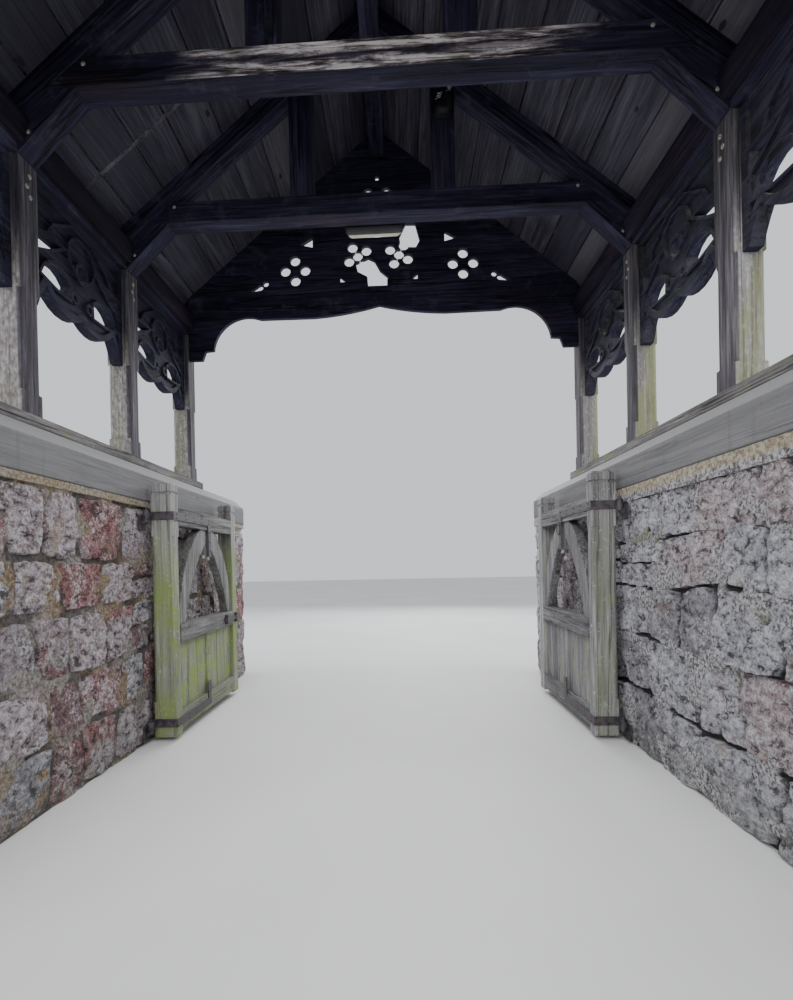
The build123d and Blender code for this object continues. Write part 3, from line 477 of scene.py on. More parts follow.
def mortar():
    """Lime mortar, buff and grey, with dirt and painted shade in its crevices, and the yellow bed under the
    sill.
    """
    shade = Shade("lime_mortar", 0.95)
    mottle = shade.blotches(75.0, 7.0, 0.75)
    drab = shade.ramp(mottle, MOTTLE, (0.12, 0.103, 0.094), (0.25, 0.222, 0.205), (0.37, 0.345, 0.32))
    brown = shade.ramp(mottle, MOTTLE, (0.11, 0.073, 0.045), (0.24, 0.172, 0.110), (0.36, 0.29, 0.205))
    colour = shade.tint(drab, brown, shade.blotches(3.2, 5.0), 0.44, 0.58)
    tones = ((0.070, 0.066, 0.076), (0.32, 0.315, 0.34), (0.62, 0.62, 0.65))
    grey = shade.ramp(mottle, (0.43, 0.50, 0.57), *tones)
    colour = shade.tint(colour, grey, shade.axis("X"), -0.3, 0.3, 0.0, 0.85)
    ragged = shade.times(shade.blotches(9.0, 6.0), 0.03)
    bed = shade.span(shade.plus(shade.axis("Z"), ragged), 1.190, 1.202)
    bed = shade.times(bed, shade.span(shade.axis("Z"), 1.45, 1.40))
    sand = shade.ramp(mottle, MOTTLE, (0.26, 0.205, 0.13), (0.41, 0.345, 0.235), (0.54, 0.48, 0.37))
    share = shade.span(shade.axis("X"), -0.3, 0.3, 0.42, 0.80)
    colour = shade.mix(shade.times(bed, share), colour, sand)
    grit = shade.blotches(150.0, 5.0, 0.75)
    colour = shade.tint(colour, (0.07, 0.064, 0.062), grit, 0.56, 0.66, 0.0, 0.4)
    moss = shade.span(shade.blotches(3.0, 6.0), 0.62, 0.70, 0.0, 0.5)
    colour = shade.mix(moss, colour, (0.16, 0.18, 0.07))
    # Dirt and painted shade: the deeper the mortar lies, the darker it is painted.
    sunk_dirt_and_shade = shade.span(shade.attribute("sink"), 0.013, 0.026, 0.0, 0.95)
    colour = shade.mix(sunk_dirt_and_shade, colour, (0.017, 0.015, 0.018))
    height = shade.plus(mottle, shade.times(grit, 0.5))
    return shade.finish(colour, height, 1.0, 0.010)


def clay():
    """Plain clay tile, each with its tone, under grey and orange lichen and some moss."""
    shade = Shade("clay_tile", 0.88)
    tone = shade.attribute("tone")
    mottle = shade.blotches(22.0, 7.0, 0.65)
    tones = ((0.115, 0.062, 0.050), (0.235, 0.105, 0.070), (0.335, 0.165, 0.105))
    body = shade.ramp(tone, (0.0, 0.5, 1.0), *tones)
    colour = shade.tint(body, (0.12, 0.085, 0.075), mottle, 0.42, 0.62, 0.0, 0.5)
    colour = grow(shade, colour, (0.40, 0.39, 0.34), 1.0, 14.0, 0.56, 0.64, 0.75)
    colour = grow(shade, colour, (0.46, 0.27, 0.06), 1.0, 23.0, 0.63, 0.69, 0.7)
    colour = grow(shade, colour, (0.10, 0.125, 0.03), 1.0, 2.6, 0.58, 0.68, 0.75)
    grain = shade.blotches(210.0, 3.0)
    height = shade.plus(shade.times(mottle, 0.7), shade.times(grain, 0.3))
    return shade.finish(colour, height, 0.6, 0.004)


def lens():
    """Cream plastic of the bulkhead lamp, dusty and yellowed."""
    shade = Shade("lamp_lens", 0.38)
    dust = shade.blotches(16.0, 6.0, 0.6)
    colour = shade.ramp(dust, (0.38, 0.6), (0.60, 0.52, 0.37), (0.78, 0.72, 0.58))
    colour = shade.tint(colour, (0.33, 0.28, 0.20), dust, 0.56, 0.72, 0.0, 0.6)
    grain = shade.blotches(380.0, 3.0, 0.6)
    return shade.finish(colour, grain, 0.25, 0.001, shade.span(dust, 0.4, 0.7, 0.28, 0.6))


def reflector():
    """Bright metal strips of the small lamp."""
    shade = Shade("lamp_reflector", 0.25, 0.95)
    dust = shade.blotches(260.0, 4.0, 0.6)
    colour = shade.ramp(dust, (0.35, 0.65), (0.66, 0.68, 0.72), (0.93, 0.95, 0.98))
    return shade.finish(colour, dust, 0.1, 0.0005, shade.span(dust, 0.3, 0.7, 0.18, 0.36))


def lamp_body():
    """Moulded near-black plastic with a fine grain and a film of dust."""
    shade = Shade("lamp_body", 0.6, sheen=0.3)
    dust = shade.blotches(20.0, 6.0, 0.6)
    colour = shade.tint((0.008, 0.008, 0.011), (0.035, 0.033, 0.034), dust, 0.45, 0.75, 0.0, 0.45)
    grain = shade.blotches(520.0, 3.0, 0.6)
    return shade.finish(colour, grain, 0.3, 0.001, shade.span(dust, 0.4, 0.75, 0.42, 0.75))


def peg_wood():
    """Pale end grain of oak pegs."""
    shade = Shade("peg_oak", 0.85)
    rings = shade.noise(shade.place(scale=(60, 60, 60)), 3.0, 5.0, 0.6)
    colour = shade.ramp(rings, (0.38, 0.62), (0.16, 0.14, 0.12), (0.50, 0.47, 0.42))
    return shade.finish(colour, rings, 0.5, 0.002)


def photo_camera():
    """Camera at the photograph's place and angle."""
    yaw, pitch, roll = CAMERA_YAW, CAMERA_PITCH, CAMERA_ROLL
    forward = Vector((sin(yaw) * cos(pitch), cos(yaw) * cos(pitch), sin(pitch)))
    level = Vector((cos(yaw), -sin(yaw), 0.0))
    upright = level.cross(forward)
    right = level * cos(roll) + upright * sin(roll)
    up = upright * cos(roll) - level * sin(roll)
    data = bpy.data.cameras.new("photo_camera")
    data.sensor_width = SENSOR
    data.lens = FOCAL_LENGTH / PHOTO_HEIGHT * SENSOR
    data.shift_x = (PHOTO_WIDTH / 2 - CENTRE_ACROSS) / PHOTO_HEIGHT
    data.shift_y = (CENTRE_DOWN - PHOTO_HEIGHT / 2) / PHOTO_HEIGHT
    data.clip_start = 0.05
    camera = bpy.data.objects.new("photo_camera", data)
    turn = Matrix((right, up, -forward)).transposed().to_4x4()
    camera.matrix_world = Matrix.Translation(CAMERA_PLACE) @ turn
    bpy.context.scene.collection.objects.link(camera)
    bpy.context.scene.camera = camera


class Heap:
    """Collects the vertices, faces, tones and sinks (depths below the face) of one piece."""

    def __init__(self):
        self.points, self.faces, self.tones, self.sinks = [], [], [], []

    def add(self, points, faces, tone=0.5, sinks=None):
        start = len(self.points)
        self.points += [tuple(point) for point in points]
        self.faces += [[start + index for index in face] for face in faces]
        self.tones += [tone] * len(points)
        self.sinks += sinks or [0.0] * len(points)

    def loft(self, rings, tone=0.5, caps=True, closed=True, sinks=None):
        """Skin a row of equal rings of points."""
        count = len(rings[0])
        around = count if closed else count - 1
        faces = []
        for row in range(len(rings) - 1):
            for index in range(around):
                following = (index + 1) % count
                low, high = row * count, (row + 1) * count
                faces.append((low + index, low + following, high + following, high + index))
        if caps:
            last = (len(rings) - 1) * count
            faces.append(tuple(range(count))[::-1])
            faces.append(tuple(range(last, last + count)))
        self.add([point for ring in rings for point in ring], faces, tone, sinks)

    def piece(self, name, material, body=ROOT, angle=38, slot=None):
        """Make the mesh object and let it ride on its body."""
        mesh = bpy.data.meshes.new(name)
        mesh.from_pydata(self.points, [], self.faces)
        repair = bmesh.new()
        repair.from_mesh(mesh)
        bmesh.ops.recalc_face_normals(repair, faces=repair.faces)
        repair.to_mesh(mesh)
        repair.free()
        mesh.attributes.new("tone", "FLOAT", "POINT").data.foreach_set("value", self.tones)
        mesh.attributes.new("sink", "FLOAT", "POINT").data.foreach_set("value", self.sinks)
        mesh.materials.append(material)
        mesh.shade_smooth()
        mesh.set_sharp_from_angle(angle=radians(angle))
        piece = bpy.data.objects.new(name, mesh)
        bpy.context.scene.collection.objects.link(piece)
        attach(piece, body)
        return piece


def board(heap, start, along, across, length, width, thickness, dice, wobble=0.0015, edge=0.003):
    """A board from its lower corner, with eased edges and slightly uneven faces."""
    up = along.cross(across).normalized()
    steps = max(2, ceil(length / 0.16))
    shift = dice.uniform(0, 50)
    section = [
        (edge, 0), (width - edge, 0), (width, edge), (width, thickness - edge),
        (width - edge, thickness), (edge, thickness), (0, thickness - edge), (0, edge),
    ]
    rings = []
    for step in range(steps + 1):
        place = start + along * (length * step / steps)
        ring = []
        for a, b in section:
            sway = noise.noise(Vector((shift + step * 0.37, a * 9, b * 9))) * wobble
            lean = -abs(noise.noise(Vector((shift + step * 0.31, a * 5 + 3, b * 7)))) * wobble
            inward_a = sway if edge < a < width - edge else (abs(sway) if a < width / 2 else -abs(sway))
            inward_b = -lean if b < thickness / 2 else lean
            ring.append(place + across * (a + inward_a) + up * (b + inward_b))
        rings.append(ring)
    heap.loft(rings, dice.random())


def turns(count):
    """Angles of equal steps round a circle."""
    return [2 * pi * step / count for step in range(count)]


def dome(heap, centre, normal, radius, height, tone=0.5, sides=10, flat=0.55):
    """A low rounded head, such as a nail's, bolt's or peg's."""
    normal = normal.normalized()
    first = normal.orthogonal().normalized()
    second = normal.cross(first)
    rings = []
    for reach, rise in ((1.0, -0.4), (1.0, 0.25), (0.86, 0.7), (flat, 1.0)):
        ring = []
        for index in range(sides):
            turn = 2 * pi * (index + 0.5) / sides
            offset = first * cos(turn) + second * sin(turn)
            ring.append(centre + offset * radius * reach + normal * height * rise)
        rings.append(ring)
    heap.loft(rings, tone)


class WallPath:
    """The line round a wall, seen from above, with rounded corners."""

    radius = 0.030

    def __init__(self, side):
        low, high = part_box(f"wall_{side}")
        self.arc = self.radius * pi / 2
        wide, long = high.x - low.x - 2 * self.radius, high.y - low.y - 2 * self.radius
        corners = [Vector((low.x, low.y)), Vector((high.x, low.y)), high.xy, Vector((low.x, high.y))]
        headings = [Vector((1, 0)), Vector((0, 1)), Vector((-1, 0)), Vector((0, -1))]
        starts = [corner + heading * self.radius for corner, heading in zip(corners, headings)]
        self.sides = list(zip(starts, headings, (wide, long, wide, long)))
        self.length = 2 * (wide + long + 2 * self.arc)

    def at(self, distance):
        """Place and outward direction at a distance round the wall."""
        run = distance % self.length
        for start, heading, straight in self.sides:
            outward = Vector((heading.y, -heading.x))
            if run <= straight:
                return start + heading * run, outward
            run -= straight
            if run <= self.arc:
                turn = run / self.radius
                centre = start + heading * straight - outward * self.radius
                facing = outward * cos(turn) + heading * sin(turn)
                return centre + facing * self.radius, facing
            run -= self.arc
        return self.sides[0][0], Vector((0, -1))

    def point(self, distance, z, depth):
        place, outward = self.at(distance)
        place = place - outward * depth
        return Vector((place.x, place.y, z))


def stone_steps(count):
    """Places across a stone from -1 to 1, closer together towards its rims."""
    inner = [-0.88 + 1.76 * step / count for step in range(count + 1)]
    return [-1.0, -0.985, -0.96, -0.925] + inner + [0.925, 0.96, 0.985, 1.0]


def hewn_facets(dice, count=7):
    """Random planes whose upper envelope makes the broken face of a stone."""
    facets = []
    for _ in range(count):
        turn, slope = dice.uniform(0, 2 * pi), dice.uniform(0.01, 0.10)
        facets.append((cos(turn) * slope, sin(turn) * slope, dice.uniform(-0.008, 0.001)))
    return facets


def add_stone(heap, path, corners, dice, tone, look, count):
    """One rough stone face between its four joints: (left foot, right foot, right top, left top)."""
    seed = dice.uniform(0, 90)
    base = dice.uniform(0.001, 0.006)
    squareness = dice.uniform(0.05, 0.28)
    facets = hewn_facets(dice)
    middle_s = sum(corner[0] for corner in corners) / 4
    middle_z = sum(corner[1] for corner in corners) / 4
    rows, sinks = [], []
    for v in stone_steps(count):
        row = []
        for u in stone_steps(count):
            a = u * (1 - squareness * v * v / 2)
            b = v * (1 - squareness * u * u / 2)
            low = [c0 + (c1 - c0) * (a + 1) / 2 for c0, c1 in zip(corners[0], corners[1])]
            high = [c0 + (c1 - c0) * (a + 1) / 2 for c0, c1 in zip(corners[3], corners[2])]
            s, z = [c0 + (c1 - c0) * (b + 1) / 2 for c0, c1 in zip(low, high)]
            ragged = noise.fractal(Vector((s * 10, z * 10, seed)), 0.6, 2.2, 3) * 0.016
            s += ragged * (1 - abs(v)) * abs(u)
            z += ragged * (1 - abs(u)) * abs(v)
            edge = max(abs(u), abs(v))
            face = max(x * (s - middle_s) + y * (z - middle_z) + start for x, y, start in facets)
            lumps = noise.fractal(Vector((s * 13, z * 13, seed)), 0.65, 2.3, 5) * 0.5
            chips = noise.voronoi(Vector((s * 24, z * 24, seed)))[0][0]
            depth = base + face + look["rough"] * (lumps * 0.9 + chips * 0.22)
            rim = smooth(look["rim"], 1.01, edge)
            depth = min(0.020, max(0.0008, depth)) + 0.038 * rim ** 1.6
            row.append(path.point(s, max(0.0005, z), depth))
            sinks.append(0.030 * rim)
        rows.append(row)
    heap.loft(rows, tone, caps=False, closed=False, sinks=sinks)


def split_cell(cell, dice):
    """Now and then two stones lie in the place of one."""
    chance = dice.random()
    (s0, z0), (s1, z1), (s2, z2), (s3, z3) = cell
    if chance < 0.13 and z3 - z0 > 0.19:
        cut = dice.uniform(0.4, 0.62)
        left, right = z0 + (z3 - z0) * cut, z1 + (z2 - z1) * cut
        return [
            ((s0, z0), (s1, z1), (s1, right), (s0, left)),
            ((s0, left), (s1, right), (s2, z2), (s3, z3)),
        ]
    if chance > 0.87 and s1 - s0 > 0.30:
        foot, top = s0 + (s1 - s0) * 0.55, s3 + (s2 - s3) * 0.47
        low, high = (z0 + z1) / 2, (z2 + z3) / 2
        return [
            ((s0, z0), (foot, low), (top, high), (s3, z3)),
            ((foot, low), (s1, z1), (s2, z2), (top, high)),
        ]
    return [cell]


def wall_cells(path, courses, widths, dice):
    """Corners of every stone, course by course, as places along the wall and heights."""
    heights = [sum(courses[:index]) for index in range(len(courses) + 1)]

    def bed(index, s):
        if index in (0, len(courses)):
            return heights[index]
        window = min(1.0, s / 0.3, (path.length - s) / 0.3)
        wave = noise.fractal(Vector((s * 1.9, index * 5.3, 1.5)), 0.8, 2.3, 3)
        return heights[index] + 0.036 * window * wave

    cells = []
    for index in range(len(courses)):
        marks = [0.0]
        while marks[-1] < path.length - widths[0]:
            marks.append(marks[-1] + dice.uniform(*widths))
        marks = [mark * path.length / marks[-1] for mark in marks]
        tilts = [0.0] + [dice.uniform(-0.034, 0.034) for _ in marks[1:-1]] + [0.0]
        for start, end, tilt_a, tilt_b in zip(marks, marks[1:], tilts, tilts[1:]):
            cell = (
                (start - tilt_a, bed(index, start)), (end - tilt_b, bed(index, end)),
                (end + tilt_b, bed(index + 1, end)), (start + tilt_a, bed(index + 1, start)),
            )
            cells += split_cell(cell, dice)
    return cells


def inset_cell(cell, joint):
    """Shrink a stone's place by half a joint on each side."""
    (s0, z0), (s1, z1), (s2, z2), (s3, z3) = cell
    return (
        (s0 + joint, z0 + joint), (s1 - joint, z1 + joint),
        (s2 - joint, z2 - joint), (s3 + joint, z3 - joint),
    )


WALL_LOOK = {
    "left": {
        "courses": (0.235, 0.225, 0.25, 0.215, 0.270), "widths": (0.20, 0.36), "seed": 5,
        "rough": 0.024, "rim": 0.93, "joint": 0.006, "mortar": 0.0105, "crevice": 0.021,
    },
    "right": {
        "courses": (0.27, 0.25, 0.235, 0.21, 0.192), "widths": (0.22, 0.46), "seed": 8,
        "rough": 0.030, "rim": 0.95, "joint": 0.0020, "mortar": 0.011, "crevice": 0.036,
    },
}


# Steps across a stone on the passage side and elsewhere, and those of the mortar core and bed
NEAR_STEPS, FAR_STEPS = 19, 9
CORE_GRID = 0.022
CORE_ROWS = 56
BED_STEPS = 140


def bed_foot(side):
    """Height where the stones end and the bed under the sill begins."""
    return sum(WALL_LOOK[side]["courses"])


def build_wall(side, stone_look, mortar_look):
    """Rubble facing stones round a mortar core, with the bed and haunch under the sill."""
    look = WALL_LOOK[side]
    dice = random.Random(look["seed"])
    path = WallPath(side)
    stones = Heap()
    for cell in wall_cells(path, look["courses"], look["widths"], dice):
        near_passage = path.at((cell[0][0] + cell[1][0]) / 2)[1].x * SIDES[side] < -0.5
        if side == "left":
            tone = dice.uniform(0.25, 0.9) if near_passage else dice.uniform(0.10, 0.75)
        else:
            tone = dice.choice((0.0, 0.05, 0.10, 0.15, 0.20, 0.30, 0.55))
        count = NEAR_STEPS if near_passage else FAR_STEPS
        add_stone(stones, path, inset_cell(cell, look["joint"]), dice, tone, look, count)
    core = Heap()
    add_core(core, side, path, look)
    add_bed(core, side)
    piece = stones.piece(f"wall_{side}_stones", stone_look, angle=60, slot="rubble_stone")
    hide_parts(f"wall_{side}")
    piece = core.piece(f"wall_{side}_mortar", mortar_look, angle=60, slot="rubble_stone")
    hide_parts(f"wall_{side}")


def add_core(heap, side, path, look):
    """Mortar behind the stones, with open crevices here and there."""
    columns = int(path.length / CORE_GRID)
    lines, sinks = [], []
    for row in range(CORE_ROWS + 1):
        z = bed_foot(side) * row / CORE_ROWS
        line = []
        for column in range(columns):
            s = path.length * column / columns
            swell = noise.fractal(Vector((s * 5, z * 9, look["seed"])), 0.7, 2.1, 4)
            depth = look["mortar"] + (look["crevice"] - look["mortar"]) * smooth(-0.22, 0.16, swell)
            line.append(path.point(s, z, depth))
            sinks.append(depth)
        lines.append(line)
    heap.loft(lines, 0.5, sinks=sinks)


def add_bed(heap, side):
    """Mortar under the sill and the sloped haunch outside it."""
    low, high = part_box(f"wall_{side}")
    hand = SIDES[side]
    inner, outer = (low.x, high.x) if hand > 0 else (high.x, low.x)
    sill_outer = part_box(f"sill_{side}")[1 if hand > 0 else 0].x
    foot, top, haunch = bed_foot(side) - 0.004, high.z - 0.0008, high.z - 0.045
    rings = []
    for step in range(BED_STEPS + 1):
        y = low.y + 0.002 + (high.y - low.y - 0.004) * step / BED_STEPS
        wave = [0.005 * abs(noise.noise(Vector((y * 7, k * 3.1, 2.0 + hand)))) for k in range(6)]
        rings.append([
            Vector((inner + hand * (0.002 + wave[0]), y, foot)),
            Vector((inner + hand * (0.001 + wave[1] * 1.4), y, (foot + top) / 2)),
            Vector((inner + hand * (0.003 + wave[2]), y, top)),
            Vector((sill_outer - hand * 0.002, y, top)),
            Vector(((sill_outer + outer) / 2, y, (top + haunch) / 2 - wave[3])),
            Vector((outer - hand * (0.002 + wave[4]), y, haunch - wave[5])),
            Vector((outer - hand * 0.003, y, foot)),
        ])
    heap.loft(rings, 0.5)


def slope_point(hand, out, y, lift=0.0):
    """A point on the upper line of the sarking: distance out from the middle, and lift off it."""
    x = out + lift * sin(ROOF_PITCH)
    z = ridge_line() - out * sin(ROOF_PITCH) / cos(ROOF_PITCH) + lift * cos(ROOF_PITCH)
    return Vector((hand * x, y, z))


def slope_ways(hand):
    """Directions down a roof slope, square off it, and along it."""
    down = Vector((hand * cos(ROOF_PITCH), 0, -sin(ROOF_PITCH)))
    normal = Vector((hand * sin(ROOF_PITCH), 0, cos(ROOF_PITCH)))
    return down, normal, Vector((0, hand, 0))


def ridge_line():
    """Height where the upper lines of the two sarkings meet."""
    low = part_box("sarking_right")[0]
    foot = low.z + SARKING_THICKNESS / cos(ROOF_PITCH)
    return foot + EAVES_X * sin(ROOF_PITCH) / cos(ROOF_PITCH)


def build_sarking(side, look):
    """Boards along the roof, each with its own width, tone and joint."""
    hand = SIDES[side]
    dice = random.Random(31 + hand)
    low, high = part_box(f"sarking_{side}")
    heap = Heap()
    inner = min(abs(low.x), abs(high.x))
    slope = (EAVES_X - inner) / cos(ROOF_PITCH)
    thickness = SARKING_THICKNESS - 0.0008
    down, _, along = slope_ways(hand)
    run = 0.004
    while run < slope - 0.02:
        width = min(dice.uniform(0.185, 0.235), slope - run - 0.001)
        if slope - run - width < 0.08:
            width = slope - run - 0.001
        ends = [low.y + 0.001, high.y - 0.001]
        if dice.random() < 0.55:
            ends.insert(1, dice.choice(FRAME_Y[1:3]))
        for start, end in zip(ends, ends[1:]):
            out = inner + run * cos(ROOF_PITCH)
            begin = slope_point(hand, out, start if hand > 0 else end, -SARKING_THICKNESS)
            gap = dice.uniform(0.003, 0.009)
            board(heap, begin, along, down, end - start - 0.002, width - gap, thickness, dice)
        run += width
    piece = heap.piece(f"sarking_{side}_boards", look, angle=30, slot="roof_boards")
    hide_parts(f"sarking_{side}")


def tile_rings(length, width, thickness, camber):
    """Outline rings of a plain tile lying flat: across, and along from tail to head."""
    rings = []
    for along in (0.0, 0.003, length * 0.5, length):
        ring = []
        ease = 0.0025 if along == 0.0 else 0.0
        for part in (0.0, 0.02, 0.25, 0.5, 0.75, 0.98, 1.0):
            bow = camber * (1 - (2 * part - 1) ** 2) - (0.0015 if part in (0.0, 1.0) else 0)
            ring.append((part * width, along, thickness - ease + bow - camber))
        for part in (1.0, 0.75, 0.5, 0.25, 0.0):
            bow = camber * (1 - (2 * part - 1) ** 2)
            ring.append((part * width, along, ease + bow - camber))
        rings.append(ring)
    return rings


def lay_tile(heap, hand, tail, length, start, end, dice):
    """One tile of a course, slipped, skewed and dropped a little."""
    down, normal, _ = slope_ways(hand)
    slip = dice.uniform(0.0, 0.004)
    skew = dice.uniform(-0.004, 0.004)
    drop = dice.uniform(0.0, 0.0025)
    rings = []
    for ring in tile_rings(length, end - start - 0.003, TILE_THICKNESS, TILE_CAMBER):
        placed = []
        for across, up_slope, lift in ring:
            up = (up_slope + slip) + across * skew
            rise = TILE_TOP - TILE_THICKNESS - drop - up_slope * TILE_TILT + lift
            spot = tail - down * max(0.0, up) + normal * rise
            placed.append(Vector((spot.x, start + 0.0015 + across, spot.z)))
        rings.append(placed)
    heap.loft(rings, dice.random())


def build_tiles(side, look, mortar_look, batten_look):
    """Plain tiles laid in broken bond on battens, with mortar along the verges."""
    hand = SIDES[side]
    dice = random.Random(70 + hand)
    low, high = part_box(f"tiles_{side}")
    inner = max(0.03, min(abs(low.x), abs(high.x)))
    tail_out = max(abs(low.x), abs(high.x)) - TILE_TOP * sin(ROOF_PITCH)
    down, _, along = slope_ways(hand)
    width = 2 * ROOF_HALF_LENGTH / TILES_PER_COURSE
    courses = int((tail_out - inner) / cos(ROOF_PITCH) / TILE_GAUGE)
    heap = Heap()
    for course in range(courses + 1):
        tail = slope_point(hand, tail_out, 0.0) - down * (TILE_GAUGE * course)
        room = abs(tail.x) / cos(ROOF_PITCH) - 0.012
        length = min(TILE_LENGTH, room)
        if length < 0.05:
            continue
        y = -ROOF_HALF_LENGTH + (0.0 if course % 2 else -width / 2)
        while y < ROOF_HALF_LENGTH - 0.01:
            start, end = max(y, -ROOF_HALF_LENGTH + 0.001), min(y + width, ROOF_HALF_LENGTH - 0.001)
            lay_tile(heap, hand, tail, length, start, end, dice)
            y += width
    piece = heap.piece(f"tiles_{side}_plain_tiles", look, angle=35, slot="clay_tile")
    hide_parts(f"tiles_{side}")
    bed, battens = Heap(), Heap()
    for y in (-ROOF_HALF_LENGTH + 0.004, ROOF_HALF_LENGTH - 0.059):
        add_verge(bed, hand, inner, tail_out, y)
    for course in range(courses):
        out = tail_out - (0.045 + TILE_GAUGE * course) * cos(ROOF_PITCH)
        if out < inner + 0.05:
            continue
        y = -ROOF_HALF_LENGTH + 0.06
        begin = slope_point(hand, out, y if hand > 0 else -y, 0.0006)
        board(battens, begin, along, down, -2 * y, TILE_BATTEN_WIDTH, TILE_BATTEN_THICKNESS, dice)
    piece = bed.piece(f"tiles_{side}_verge_mortar", mortar_look, angle=45, slot="clay_tile")
    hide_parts(f"tiles_{side}")
    piece = battens.piece(f"tiles_{side}_battens", batten_look, angle=45, slot="roof_boards")
    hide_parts(f"tiles_{side}")


def add_verge(heap, hand, inner, outer, y):
    """Mortar fillet that closes the open edge under the tiles at a gable."""
    down, normal, _ = slope_ways(hand)
    wide = VERGE_WIDTH
    length = (outer - inner) / cos(ROOF_PITCH) - 0.03
    steps = int(length / 0.05)
    rings = []
    for step in range(steps + 1):
        base = slope_point(hand, outer - 0.012, y) - down * (length * step / steps)
        ragged = 0.004 * noise.noise(Vector((step * 0.6, y * 5, hand * 2.0)))
        section = [(0.0, 0.001), (wide, 0.001), (wide - 0.002 + ragged / 2, 0.026), (0.002 + ragged, 0.026)]
        rings.append([base + Vector((0, a, 0)) + normal * b for a, b in section])
    heap.loft(rings, 0.5)


def build_ridge(look, mortar_look):
    """Half-round ridge tiles butted end to end, with mortar in the joints and at the feet."""
    low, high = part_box("ridge_tiles")
    dice = random.Random(12)
    radius = (high.x - low.x) / 2
    thickness = RIDGE_THICKNESS
    centre_z = high.z - radius
    foot = max(0.0, centre_z - low.z)
    pitch = (high.y - low.y) / RIDGE_TILES
    heap, joints = Heap(), Heap()
    for index in range(RIDGE_TILES):
        start = low.y + pitch * index + 0.003
        end = low.y + pitch * (index + 1) - 0.003
        dip, roll = dice.uniform(0.0005, 0.003), dice.uniform(-0.010, 0.010)
        rings = []
        for y in (start, start + 0.004, (start + end) / 2, end - 0.004, end):
            ease = 0.0025 if y in (start, end) else 0.0
            rings.append(half_round(radius - ease - dip, thickness - ease, y, centre_z, foot, roll))
        heap.loft(rings, dice.random())
        if index:
            y = low.y + pitch * index
            collar = [half_round(radius - 0.004 - bulge, thickness, y + reach, centre_z, foot, 0.0)
                      for reach, bulge in ((-0.014, 0.004), (-0.006, 0.0), (0.006, 0.0), (0.014, 0.004))]
            joints.loft(collar, 0.5)
    for y, inward in ((low.y + 0.008, 0.022), (high.y - 0.008, -0.022)):
        plug_ridge(joints, radius - thickness - 0.0015, centre_z, low.z + 0.004, y, inward)
    piece = heap.piece("ridge_tiles_half_round", look, angle=35, slot="clay_tile")
    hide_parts("ridge_tiles")
    for hand in (-1, 1):
        bed_ridge(joints, hand, radius, centre_z - foot * 0.1 + 0.012)
    piece = joints.piece("ridge_tiles_mortar", mortar_look, angle=60, slot="clay_tile")
    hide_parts("ridge_tiles")


def bed_ridge(heap, hand, radius, top):
    """Line of mortar under the foot of the ridge tiles on one slope."""
    low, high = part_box("ridge_tiles")
    rings = []
    for step in range(60):
        y = low.y + 0.004 + (high.y - low.y - 0.008) * step / 59
        sway = 0.004 * noise.noise(Vector((y * 8, hand * 4.0, 0.5)))
        x0, x1 = radius - 0.050, radius - 0.0025 + min(0.0, sway)
        z0, z1 = low.z + 0.001, top + sway
        section = ((x0, z0 + 0.03), (x1, z0), (x1, (z0 + z1) / 2), (x1 - 0.008, z1), (x0, z1))
        rings.append([Vector((hand * x, y, z)) for x, z in section])
    heap.loft(rings, 0.5)


def plug_ridge(heap, radius, centre_z, foot_z, y, inward):
    """Rough mortar that fills the open end of the last ridge tile."""
    sag = max(foot_z, centre_z - 0.012)
    rings = []
    for step, reach in ((0, 0.0), (1, inward)):
        ring = [Vector((radius, y + reach, foot_z))]
        for k in range(15):
            turn = pi * k / 14
            dent = 0.003 * abs(noise.noise(Vector((k * 0.9, y, step * 3.0))))
            rough = radius - dent
            ring.append(Vector((rough * cos(turn), y + reach, centre_z + rough * sin(turn))))
        ring.append(Vector((-radius, y + reach, foot_z)))
        ring += [Vector((radius * part, y + reach, sag)) for part in (-0.5, 0.0, 0.5)]
        rings.append(ring)
    heap.loft(rings, 0.5)


def half_round(radius, thickness, y, centre_z, foot, roll):
    """Ring of a half-round tile with straight feet."""
    steps = 14
    angles = [pi * k / steps + roll for k in range(steps + 1)]
    outer = [(radius * cos(turn), max(0, radius * sin(turn))) for turn in angles]
    inner = [(x * (radius - thickness) / radius, z * (radius - thickness) / radius) for x, z in outer]
    outline = [(radius, -foot)] + outer + [(-radius, -foot), (thickness - radius, -foot)]
    outline += inner[::-1] + [(radius - thickness, -foot)]
    return [Vector((x, y, centre_z + z)) for x, z in outline]


LEAF_FACE_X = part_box("gate_right_rails")[0].x
PANEL_LOW, PANEL_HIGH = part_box("gate_right_panel")
BOARD_THICKNESS = 0.025
MUNTIN_WIDTH = 0.062
RAIL_Z = (0.094, 0.538, 1.146)
STRAP_REACH = (0.50, 0.545)
BATTEN_FOOT, BATTEN_HEAD = 1.375, 0.870
KNOBS = {"left": ((0.745, 0.941), (0.8225, 0.9325)), "right": ((0.8245, 0.930), (0.768, 0.8925))}
DROP_FACE_X = LEAF_FACE_X - 0.006
DROP_Y = 0.823
DROP_FOOT = 0.945


